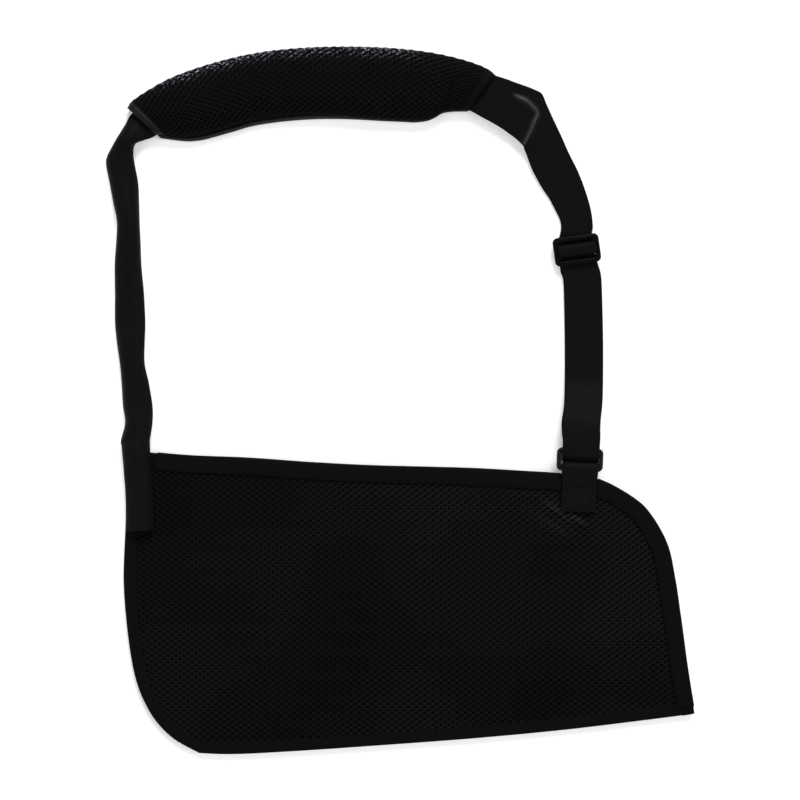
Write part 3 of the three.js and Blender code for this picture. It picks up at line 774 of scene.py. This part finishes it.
# ---- strap ---------------------------------------------------------------------------------------------
PAD_CENTRE = np.array([-28.0, -267.0])
PAD_RADIUS = 521
PAD_FROM = math.radians(-19.8)
PAD_TO = math.radians(10.2)
PAD_MIDDLE = (PAD_FROM + PAD_TO) / 2
PAD_LENGTH = PAD_RADIUS * (PAD_TO - PAD_FROM)
PAD_STRAP_Z = 10.6
TAB_BAR = np.array([142.4, -54.6])
RING_TURN = math.atan2(TAB_BAR[1] - FOLD_START[1], TAB_BAR[0] - FOLD_START[0])
FOLD_Y = -32  # the strap is two pieces here, on either side of where it folds at the elbow
ELBOW_FLAT = 26
PAD_GRIP = 14.7  # half the strap's width inside the pad


def pad_point(angle, radius=PAD_RADIUS):
    return PAD_CENTRE[0] + radius * math.sin(angle), PAD_CENTRE[1] + radius * math.cos(angle)


def stations(rows, step=WEAVE_STEP):
    """Path and widths through stations of (x, y, z, width)."""
    curve = spline(rows, step)
    return curve[:, :3], curve[:, 3]


def panel_top(x, y):
    return float(front_height(np.array([[x, y]]))[0])


def add_elbow_strap():
    lift = MARGIN_THICKNESS + GAP + WEB / 2
    rows = [(x, y, panel_top(x, y) + lift, w) for x, y, w in (
        (-206.7, -104, 21.2), (-207.1, -88, 21.2), (-207.9, -70, 21.2), (-209.0, -56, 21.2))]
    rows += [(-209.6, -46, panel_top(-209.6, -46) + lift + 0.4, 21.2), (-210.75, FOLD_Y, 5.5, 22.3)]
    path, width = stations(rows)
    flat = ELBOW_FLAT + (WEB_WIDTH - ELBOW_FLAT) * smooth(path[:, 1], -58, -40)
    piece = ribbon("strap_on_elbow", path, width, flat=flat)
    bend = ("pouch", "pouch_front", (0, -44.5, 0), (0, -38, 0))
    return finish_piece(piece, ["strap_elbow_end"], bend=bend)


def box_stitch(name, centre, width, height, turn, node, body):
    """A box of stitches about centre = (x, y, z)."""
    w, h = width / 2, height / 2
    corners = [(-w, -h), (w, -h), (w, h), (-w, h), (-w, -h)]
    lines = [np.array(corners[i : i + 2], float) for i in range(4)]
    c, s = math.cos(turn), math.sin(turn)
    rows = [
        np.column_stack([centre[0] + l @ [c, -s], centre[1] + l @ [s, c], np.full(2, centre[2])])
        for l in lines
    ]
    piece = stitches(name, rows, 2.9, 2.3)
    return finish_piece(piece, [node], body=body)


def rails(rows):
    """Path, sides and widths of a tape through rows of (left x, left y, right x, right y, z)."""
    rows = np.array(rows, float)
    middle = (rows[:, :2] + rows[:, 2:4]) / 2
    half = (rows[:, 2:4] - rows[:, :2]) / 2
    curve = spline(np.column_stack([middle, rows[:, 4], half]), WEAVE_STEP)
    side = np.column_stack([curve[:, 3:5], np.zeros(len(curve))])
    return curve[:, :3], unit(side), 2 * np.linalg.norm(side, axis=1)


def across_pad(angle, half, z):
    """A row for rails() where the strap crosses the pad's arc squarely."""
    return (*pad_point(angle, PAD_RADIUS + half), *pad_point(angle, PAD_RADIUS - half), z)


def add_left_strap():
    rows = [
        (-221.5, FOLD_Y - 4, -199.5, FOLD_Y - 4, 5.75), (-221.9, FOLD_Y, -199.6, FOLD_Y, 5.5),
        (-218.8, -18, -197.9, -18, 3.0), (-220.9, -4, -197.6, -4, 1.7), (-221.9, 13, -200.2, 13, 1.1),
        (-223.0, 29, -204.0, 29, 1.0), (-225.6, 45, -203.9, 45, 0.9), (-227.4, 62, -203.4, 62, 0.9),
        (-227.3, 86, -205.0, 86, 0.9), (-227.2, 108, -207.2, 108, 0.9), (-225.8, 126, -208.1, 126, 0.9),
        (-225.1, 142, -209.0, 142, 0.9), (-228.2, 157, -209.1, 157, 0.9), (-231.4, 173, -209.6, 173, 1.0),
        (-234.4, 188.3, -212.5, 189.3, 1.1), (-233.3, 194.8, -213.5, 196.8, 1.5),
        (-229.8, 201.1, -213.0, 202.7, 2.2), (-224.8, 209, -210.3, 205.7, 3.2),
        (-218.9, 218.7, -204.5, 207.3, 4.6), (-212.7, 229.2, -196.9, 209.4, 5.6),
        across_pad(PAD_FROM + 0.03, 12.6, 6.4), across_pad(PAD_FROM + 0.075, 14.4, PAD_STRAP_Z),
    ]
    rows += [across_pad(a, PAD_GRIP, PAD_STRAP_Z)
             for a in (PAD_FROM + 0.11, PAD_MIDDLE - 0.05, PAD_MIDDLE - 0.002)]
    path, side, width = rails(rows)
    where = np.linspace(0, 1, len(path))
    roll = 0.16 * np.sin(where * 9.0 + 0.4) * smooth(where, 0.03, 0.12) * (1 - smooth(where, 0.45, 0.55))
    path[:, 2] += np.abs(np.sin(roll)) * width / 2
    in_pad = smooth(path[:, 1], 203, 226)
    flat = np.maximum(width, WEB_WIDTH) * (1 - in_pad) + width * in_pad
    piece = ribbon("strap_left", path, width, side, flat=flat, tilt=roll)
    bend = ("pouch_front", "strap", (0, FOLD_Y, 0), (0, 25, 0))
    return finish_piece(piece, ["strap_left_run", "strap_in_pad"], bend=bend)


# The strap turns its corner over a ridge that starts along its outer edge and ends at its inner one.
RIDGE_LINE = spline([(90, 242.2), (99.9, 238.4), (106.1, 233), (109.4, 228), (106.6, 221), (103.4, 213),
                     (98.6, 204)])
CORNER_OUTER = np.array([113.1, 243.7])
CORNER_INNER = np.array([98.0, 201.9])


def strap_ridge(spots):
    """1 along the ridge, 0 away from it."""
    return np.exp(-((distance_to(RIDGE_LINE, spots) / 1.7) ** 2)) * smooth(spots[:, 0], 86, 100)


def strap_crease(points):
    """Height of the folds where the strap turns its corner."""
    flat = points[..., :2].reshape(-1, 2)
    run = CORNER_OUTER - CORNER_INNER
    past = ((flat - CORNER_INNER) @ np.array([run[1], -run[0]])) / np.linalg.norm(run)
    near = np.hypot(*(flat - RIDGE_LINE[len(RIDGE_LINE) // 2, :2]).T) < 60
    height = np.zeros(len(flat))
    side = np.where(past[near] < 0, np.exp(past[near] / 9.0), np.exp(-past[near] / 3.0))
    height[near] = 1.7 * strap_ridge(flat[near]) + 1.3 * side
    return height.reshape(points.shape[:-1])


def add_right_strap():
    c, s = math.cos(SLIDER_TURN), math.sin(SLIDER_TURN)
    end = np.array([SLIDER[0] - SLIDER_REACH * s, SLIDER[1] + SLIDER_REACH * c])
    half = 13.2 * np.array([c, s])
    rows = [across_pad(a, PAD_GRIP, PAD_STRAP_Z)
            for a in (PAD_MIDDLE + 0.002, PAD_MIDDLE + 0.05, PAD_TO - 0.1)]
    rows += [
        across_pad(PAD_TO - 0.05, 15.0, 8.4), across_pad(PAD_TO - 0.016, 16.2, 7.0),
        (81.6, 256.6, 65.7, 224.8, 7.0), (90.6, 253.4, 78.1, 218, 6.8), (100.6, 249.9, 88.2, 211.1, 6.4),
        (108, 246.9, 94.2, 206.2, 6.0), (*CORNER_OUTER, *CORNER_INNER, 5.4),
        (117.3, 234.9, 98.9, 199.8, 4.6), (122.2, 224.4, 99.9, 197.9, 3.8), (128.6, 211.2, 101, 195.6, 2.8),
        (135.1, 196.9, 106.1, 182.8, 1.9), (142.3, 182.6, 113.5, 169.4, 1.3),
        (147.9, 168.3, 119.5, 160.5, 1.0), (152.2, 153.9, 124.5, 150.9, 1.0),
        (153.8, 144.3, 127.9, 143.7, 1.0), (154.1, 136.9, 128.7, 136.7, 1.0),
        (*(end + half), *(end - half), 1.05),
    ]
    path, side, width = rails(rows)
    piece = ribbon("strap_right", path, side=side, flat=width, wave=strap_crease)
    mark_crease(piece, strap_ridge)
    bend = ("strap", "slider", (0, 205, 0), (0, 134, 0))
    return finish_piece(piece, ["strap_right_run"], bend=bend)


# ---- slider --------------------------------------------------------------------------------------------
BAR = 4.0
SLIDER = (140.9, 119.6)
SLIDER_TURN = math.radians(8)
SLIDER_REACH = 9.7  # the stretch of strap that moves with the slider ends this far from its middle
SLOT = 5.5
SLIDER_BASE = 4.0
SLIDER_THICK = 3.5
HARDWARE_WIDTH = 37.0
OPENING = 28.6


def rounded(width, height, radius, centre_y=0.0, points=8):
    """Outline of a rounded rectangle, as (x, y) points."""
    corners = [(1, 1, 0), (-1, 1, 90), (-1, -1, 180), (1, -1, 270)]
    outline = []
    for sx, sy, start in corners:
        for k in range(points + 1):
            angle = math.radians(start + 90 * k / points)
            outline.append((sx * (width / 2 - radius) + radius * math.cos(angle),
                            sy * (height / 2 - radius) + radius * math.sin(angle) + centre_y))
    return outline


def plate(name, outlines, thickness, edge_radius, place, turn, middle_z, plastic):
    """A moulded frame of an outline with holes, its edges rounded by edge_radius."""
    curve = bpy.data.curves.new(name, "CURVE")
    curve.dimensions = "2D"
    curve.fill_mode = "BOTH"
    curve.extrude = (thickness / 2 - edge_radius) * MM
    curve.bevel_depth = edge_radius * MM
    curve.bevel_resolution = 5
    curve.offset = -edge_radius * MM
    for outline in outlines:
        line = curve.splines.new("POLY")
        line.points.add(len(outline) - 1)
        for point, (x, y) in zip(line.points, outline):
            point.co = (x * MM, y * MM, 0, 1)
        line.use_cyclic_u = True
    source = bpy.data.objects.new(name + "_curve", curve)
    bpy.context.scene.collection.objects.link(source)
    bpy.context.view_layer.update()
    evaluated = source.evaluated_get(bpy.context.evaluated_depsgraph_get())
    mesh = bpy.data.meshes.new_from_object(evaluated)
    mesh.name = name
    bpy.data.objects.remove(source)
    piece = bpy.data.objects.new(name, mesh)
    piece.location = (place[0] * MM, place[1] * MM, middle_z * MM)
    piece.rotation_euler = (0, 0, turn)
    mesh.materials.clear()
    mesh.materials.append(plastic)
    bpy.context.scene.collection.objects.link(piece)
    merge = piece.modifiers.new("merge", "WELD")
    merge.merge_threshold = 0.00002
    mesh.polygons.foreach_set("use_smooth", np.ones(len(mesh.polygons), bool))
    smooth_edges = piece.modifiers.new("edges", "EDGE_SPLIT")
    smooth_edges.split_angle = math.radians(50)
    return piece


def local_path(points, place, turn, offset_x=0.0):
    """Points of (y, z) in the upright plane across a turned piece of hardware, as (x, y, z)."""
    c, s = math.cos(turn), math.sin(turn)
    return np.array([[place[0] + offset_x * c - y * s, place[1] + offset_x * s + y * c, z]
                     for y, z in points])


def turned_side(turn):
    return np.array([math.cos(turn), math.sin(turn), 0.0])


def add_slider():
    height = 3 * BAR + 2 * SLOT
    middle = SLIDER_BASE + SLIDER_THICK / 2
    outlines = [rounded(HARDWARE_WIDTH, height, 4.2)] + [
        rounded(OPENING, SLOT, 1.2, sign * (BAR + SLOT) / 2) for sign in (-1, 1)
    ]
    frame_piece = plate("slider_frame", outlines, SLIDER_THICK, 1.45, SLIDER, SLIDER_TURN, middle,
                        SLIDER_PLASTIC)
    finish_piece(frame_piece, ["tri_glide"], body="slider")
    side = turned_side(SLIDER_TURN)
    over = [(-SLIDER_REACH, 2.85), (-7.5, 2.9), (-6.0, 3.1), (-4.9, 4.2), (-4.5, 6.0), (-4.3, 8.2),
            (-3.3, 9.7), (-1.6, 10.2), (1.6, 10.2), (3.3, 9.7), (4.3, 8.2), (4.5, 6.0), (4.8, 3.6), (5.8, 1.9),
            (7.6, 1.25), (SLIDER_REACH, 1.05)]
    path = resample(spline(local_path(over, SLIDER, SLIDER_TURN), 0.4), 0.5)
    in_slot = smooth(path[:, 2], 3.0, 4.2) * (1 - smooth(path[:, 2], 8, 9.6))
    flat = 29.8 - 1.4 * in_slot
    arch = ribbon("strap_over_slider", path, side=side, flat=flat, thickness=1.4)
    finish_piece(arch, ["strap_over_bar"], body="slider")
    sewn = [(-SLIDER_REACH, 1.05), (-4, 1.05), (0.5, 1.2), (2.2, 1.9), (2.9, 3.4), (2.9, 7.0), (2.2, 8.2),
            (0, 8.45), (-2.2, 8.2), (-2.9, 7.0), (-2.9, 3.6), (-3.6, 2.6)]
    end = ribbon("strap_end_on_slider", resample(spline(local_path(sewn, SLIDER, SLIDER_TURN), 0.4), 0.5),
                 side=side, flat=27.5, thickness=1.15)
    finish_piece(end, ["strap_sewn_end"], body="slider")


# ---- doubled strap, ring and tab -------------------------------------------------------------------------
RING_SPACING = 14.6
RING_HEIGHT = 12.9
TAB_LENGTH = 34
TAB_WIDTH = 27.0
TAB_FOOT = 11.4


def above_tab_bar(distance):
    return (TAB_BAR[0] - distance * math.sin(RING_TURN), TAB_BAR[1] + distance * math.cos(RING_TURN))


def add_doubled_strap():
    bar = above_tab_bar(RING_SPACING)
    top = SLIDER[1] - SLIDER_REACH
    slack = [(9, 9.3), (3, 8.9), (-3, 8.3), (-7, 7.9), (-9.0, 8.5), (-9.4, 9.6), (-8.5, 10.8), (-7.1, 12.2),
             (-6.3, 13.8), (-5.2, 15.3), (-3, 16.4), (0, 16.7), (4, 16.6), (9, 16.25)]
    loop = local_path(slack, bar, RING_TURN, 0.4)
    back = [(142.3, top, 1.05), (143.3, top - 6, 1.05), (145.2, 98, 1.05), (146.0, 84, 1.05),
            (146.6, 50, 1.05), (146.6, 18, 1.25), (145.8, -4, 4.0), (143.6, -18, 7.4)]
    front = [(143.9, -18, 14.6), (146.0, -2, 9.4), (147.1, 18, 3.9), (147.2, 50, 2.9), (146.4, 84, 2.9),
             (145.6, 98, 2.9), (143.7, top - 5, 2.86), (142.3, top, 2.85)]
    path = resample(spline(np.vstack([back, loop, front]), 0.4), WEAVE_STEP)
    to_slider = smooth(path[:, 1], 60, top)[:, None]
    side = unit(turned_side(RING_TURN) * (1 - to_slider) + turned_side(SLIDER_TURN) * to_slider)
    in_ring = 1 - smooth(path[:, 1], bar[1] + 5, bar[1] + 14)
    in_slider = smooth(path[:, 1], top - 7, top - 1)
    flat = 30.0 - in_ring * (1.6 - smooth(path[:, 2], 15.2, 16.4)) - 0.2 * in_slider
    piece = ribbon("strap_doubled", path, side=side, flat=flat)
    bend = ("strap", "slider", (0, -28, 0), (0, 107, 0))
    return finish_piece(piece, ["strap_front_layer", "strap_back_layer", "strap_ring_loop"],
                        bend=bend)


def add_ring():
    middle = above_tab_bar(RING_SPACING / 2)
    outlines = [rounded(HARDWARE_WIDTH, RING_SPACING + BAR, 4.4),
                rounded(OPENING, RING_SPACING - BAR, 1.5)]
    piece = plate("ring_frame", outlines, BAR, 1.6, middle, RING_TURN, RING_HEIGHT, RING_PLASTIC)
    return finish_piece(piece, ["strap_ring"], body="ring")


def add_tab():
    low, high = TAB_FOOT + WEB / 2, TAB_FOOT + 1.5 * WEB
    points = [(-TAB_LENGTH, low), (-20, low), (-9, low), (-5.4, low - 0.05), (-3.4, 11.0), (-2.2, 9.9),
              (0, 9.4), (2.6, 9.9), (4.3, 11.4), (4.9, 13.2), (4.3, 15.2), (2.4, 16.5), (0, 16.9),
              (-3, 16.5), (-6, 15.5), (-9, 14.5), (-13, high + 0.2), (-20, high), (-TAB_LENGTH, high)]
    path = resample(spline(local_path(points, TAB_BAR, RING_TURN, 0.3), 0.4), WEAVE_STEP)
    widening = smooth(path[:, 1], TAB_BAR[1] - 14, TAB_BAR[1] - 2)
    piece = ribbon("ring_tab_strap", path, side=turned_side(RING_TURN), flat=TAB_WIDTH + 1.4 * widening,
                   thickness=1.4)
    finish_piece(piece, ["ring_tab"], body="pouch_front")
    centre = (TAB_BAR[0] - 0.8, TAB_BAR[1] - TAB_LENGTH + 11.5, high + WEB / 2 + 0.15)
    box_stitch("tab_stitches", centre, TAB_WIDTH - 6, 17, RING_TURN, "tab_box_stitch", "pouch_front")


# ---- shoulder pad ----------------------------------------------------------------------------------------
# The pad's two long edges: degrees round its bend and distance from PAD_CENTRE.
PAD_OUTER = spline([(-19.8, 535.2), (-19.2, 538.4), (-18, 541.6), (-15.5, 547.1), (-12, 549.9),
                    (-8, 550.9), (-2, 549.5), (4, 547.7), (7, 544.9), (9.2, 541), (10.2, 536.8)], 0.3)
PAD_INNER = spline([(-19.8, 503.2), (-19, 499), (-17.8, 494.6), (-16.5, 492.5), (-15, 491.8),
                    (-12.5, 492.5), (-10, 494), (-5, 493), (1, 490.2), (3.5, 490), (5, 490.4),
                    (6.5, 492.6), (7.4, 496), (8.2, 500.4), (10.2, 504)], 0.3)
PAD_HEIGHT = 17
COVER_BASE = 3.7
COVER = 1.6
PIPING = 1.9
BINDING_HALF = 0.0065
BINDING_INSET = 0.004
SLANT_REACH = 0.12
MOUTH_SLANT = 0.00095
ARCH_POWER = 0.8  # below 1, the arch's shoulders are fuller than an ellipse's
COVER_HALF = 28  # the half width that the cover's cells are laid out for
ARCH_ANGLES = np.linspace(0, np.pi, 400)


def pad_edges(angle):
    """Radii of the pad's inner and outer edge."""
    degrees = np.degrees(angle)
    return np.interp(degrees, *PAD_INNER.T), np.interp(degrees, *PAD_OUTER.T)


def pad_half(angle):
    inner, outer = pad_edges(angle)
    return (outer - inner) / 2


def pad_rise(angle):
    """Height of the cover over its seams. It flattens towards the mouths."""
    from_mouth = np.minimum(angle - PAD_FROM, PAD_TO - angle)
    return (PAD_HEIGHT - COVER_BASE) * (0.72 + 0.28 * smooth(from_mouth, 0, 0.09))


def lower_roll(angle):
    """How much of the lower seam's piping shows beside the cover. The cover hides it towards the right."""
    return 0.3 + 3.0 * (1 - smooth(angle, -0.1, 0.0))


def on_pad(angle, across, z):
    """Points of the pad from the angle round its bend, the distance across it and the height."""
    left = 1 - smooth(angle, PAD_FROM, PAD_FROM + SLANT_REACH)
    right = smooth(angle, PAD_TO - SLANT_REACH, PAD_TO)
    turned = angle + across * MOUTH_SLANT * (right - left)
    radius = sum(pad_edges(angle)) / 2 + across
    return np.stack(np.broadcast_arrays(
        PAD_CENTRE[0] + radius * np.sin(turned), PAD_CENTRE[1] + radius * np.cos(turned), z), -1)


def arch_table():
    """Fractions of the cover's girth at each angle of its arch, from the inner edge, and the girth."""
    x = -COVER_HALF * np.cos(ARCH_ANGLES)
    z = (PAD_HEIGHT - COVER_BASE) * np.sin(ARCH_ANGLES) ** ARCH_POWER
    run = np.concatenate([[0], np.cumsum(np.hypot(np.diff(x), np.diff(z)))])
    return run / run[-1], run[-1]


GIRTH_SHARE, GIRTH = arch_table()


def cover_surface(uv):
    """The pad cover's outer face: u is millimetres along the pad, v along its girth."""
    def place(u, v):
        angle = PAD_FROM + u / PAD_RADIUS
        turn = np.interp(v / GIRTH, GIRTH_SHARE, ARCH_ANGLES)
        half = pad_half(angle) - 0.4 - lower_roll(angle) * (np.cos(turn) > 0)
        mouths = smooth(u, 0, 30) * smooth(PAD_LENGTH - u, 0, 30)
        free = np.sin(turn) * mouths
        slack = free * (0.55 * np.sin(u / 9.5 + 1.3 * np.sin(v / 13)) * np.sin(v / 11 + 0.8)
                        + 0.5 * np.sin(u / 21 - v / 17 + 0.7))
        sag = 0.9 * np.exp(-(((u - 0.62 * PAD_LENGTH) / 38) ** 2)) * np.sin(turn) ** 2
        height = pad_rise(angle) * np.sin(turn) ** ARCH_POWER + slack - sag
        return on_pad(angle, -half * np.cos(turn), COVER_BASE + height)

    u, v = uv.T
    step = 0.4
    v = np.clip(v, step, GIRTH - step)
    normal = np.cross(place(u + step, v) - place(u - step, v), place(u, v + step) - place(u, v - step))
    return place(u, v), unit(normal)


def pad_sweep(name, section, start, end, materials, step=0.006):
    """Sweeps section(angle) = [(across, z), ...] round the pad's bend."""
    angles = np.linspace(start, end, int((end - start) / step) + 2)
    rings = np.stack([
        np.stack([on_pad(a, across, z) for across, z in section(a)]) for a in angles
    ])
    return sweep(name, rings, materials)


def add_pad_cover():
    centres = cell_centres((1.5, 1.0), (PAD_LENGTH - 1.0, GIRTH - 1.0))
    inside = ((centres[:, 0] > 3) & (centres[:, 0] < PAD_LENGTH - 3)
              & (centres[:, 1] > 2.6) & (centres[:, 1] < GIRTH - 2.6))
    cover = net("pad_cover_net", centres[inside], cover_surface, COVER, PAD_CLOTH)
    return finish_piece(cover, ["pad_cover"], body="shoulder_pad")


def arch_points(angle, grow, steps=24):
    """The cover's arch, grown outward by grow over its top and less at the seams."""
    half = float(pad_half(angle)) - 0.4
    turns = np.linspace(-0.1, math.pi + 0.1, steps)
    added = grow * (0.3 + 0.7 * np.clip(np.sin(turns), 0, 1))
    across = -(half - float(lower_roll(angle)) * (np.cos(turns) > 0) + added) * np.cos(turns)
    heights = np.sign(np.sin(turns)) * np.abs(np.sin(turns)) ** ARCH_POWER * (float(pad_rise(angle)) + added)
    return list(zip(across, COVER_BASE + heights))


def add_pad_binding(name, middle, node, cloth):
    """A tape rolled over the cover's cut edge, all round one mouth."""
    def section(angle):
        roll = math.sqrt(max(1 - ((angle - middle) / BINDING_HALF) ** 2, 0.0)) + 0.02
        return arch_points(angle, 1.7 * roll - 0.6) + arch_points(angle, -0.6 - 0.8 * roll)[::-1]

    piece = pad_sweep(name, section, middle - BINDING_HALF, middle + BINDING_HALF, [cloth], 0.0012)
    return finish_piece(piece, [node], body="shoulder_pad")


def add_piping(name, side, node, cloth):
    """The round edge along one long seam: side 1 is the outer seam, -1 the inner."""
    def section(angle):
        half = float(pad_half(angle))
        around = 2 * math.pi * np.arange(12) / 12
        middle = side * (half - PIPING)
        return [(middle + PIPING * math.cos(a), PIPING + PIPING * math.sin(a)) for a in around]

    piece = pad_sweep(name, section, PAD_FROM, PAD_TO, [cloth], 0.004)
    return finish_piece(piece, [node], body="shoulder_pad")


def add_pad_inside():
    def lining(angle):
        half = float(pad_half(angle)) - 3.7
        return [(-half, 0.2), (-half / 2, 0), (half / 2, 0), (half, 0.2), (half, 1.3), (half / 2, 1.4),
                (-half / 2, 1.4), (-half, 1.3)]

    def foam(angle):
        half = float(pad_half(angle)) - 7.5
        return [(-half, 2.0), (-half + 1.5, 1.7), (half - 1.5, 1.7), (half, 2.2), (half, 6.0),
                (half - 3.4, 9.1), (3.4 - half, 9.1), (-half, 6.0)]

    sheet = pad_sweep("pad_lining_sheet", lining, PAD_FROM, PAD_TO, [LINING])
    finish_piece(sheet, ["pad_lining"], body="shoulder_pad")
    core = pad_sweep("pad_foam_core", foam, PAD_FROM + 0.08, PAD_TO - 0.135, [FOAM])
    finish_piece(core, ["pad_foam"], body="shoulder_pad")


# ---- build -----------------------------------------------------------------------------------------------
add_camera()
add_floor()
add_lights()
front = add_front_panel()
back = add_back_panel()
hems = add_hems()
seam_stitching, seam_tape = add_seam()
add_elbow_strap()
box_stitch("elbow_stitches", (-207.3, -82, panel_top(-208, -70) + 2.1), 15, 34, 0.02,
           "elbow_box_stitch", "pouch")
add_left_strap()
add_right_strap()
add_slider()
add_doubled_strap()
add_ring()
add_tab()
cover = add_pad_cover()
add_pad_inside()
add_piping("pad_piping_outer", 1, "pad_piping_upper", ROLL_CLOTH)
# The lower piping's lighter cloth is painted light against the pad's shadow.
add_piping("pad_piping_inner", -1, "pad_piping_lower", LIT_PIPING_CLOTH)
add_pad_binding("pad_mouth_left", PAD_FROM + BINDING_INSET, "pad_binding_left", ROLL_CLOTH)
add_pad_binding("pad_mouth_right", PAD_TO - BINDING_INSET, "pad_binding_right", HEM_CLOTH)
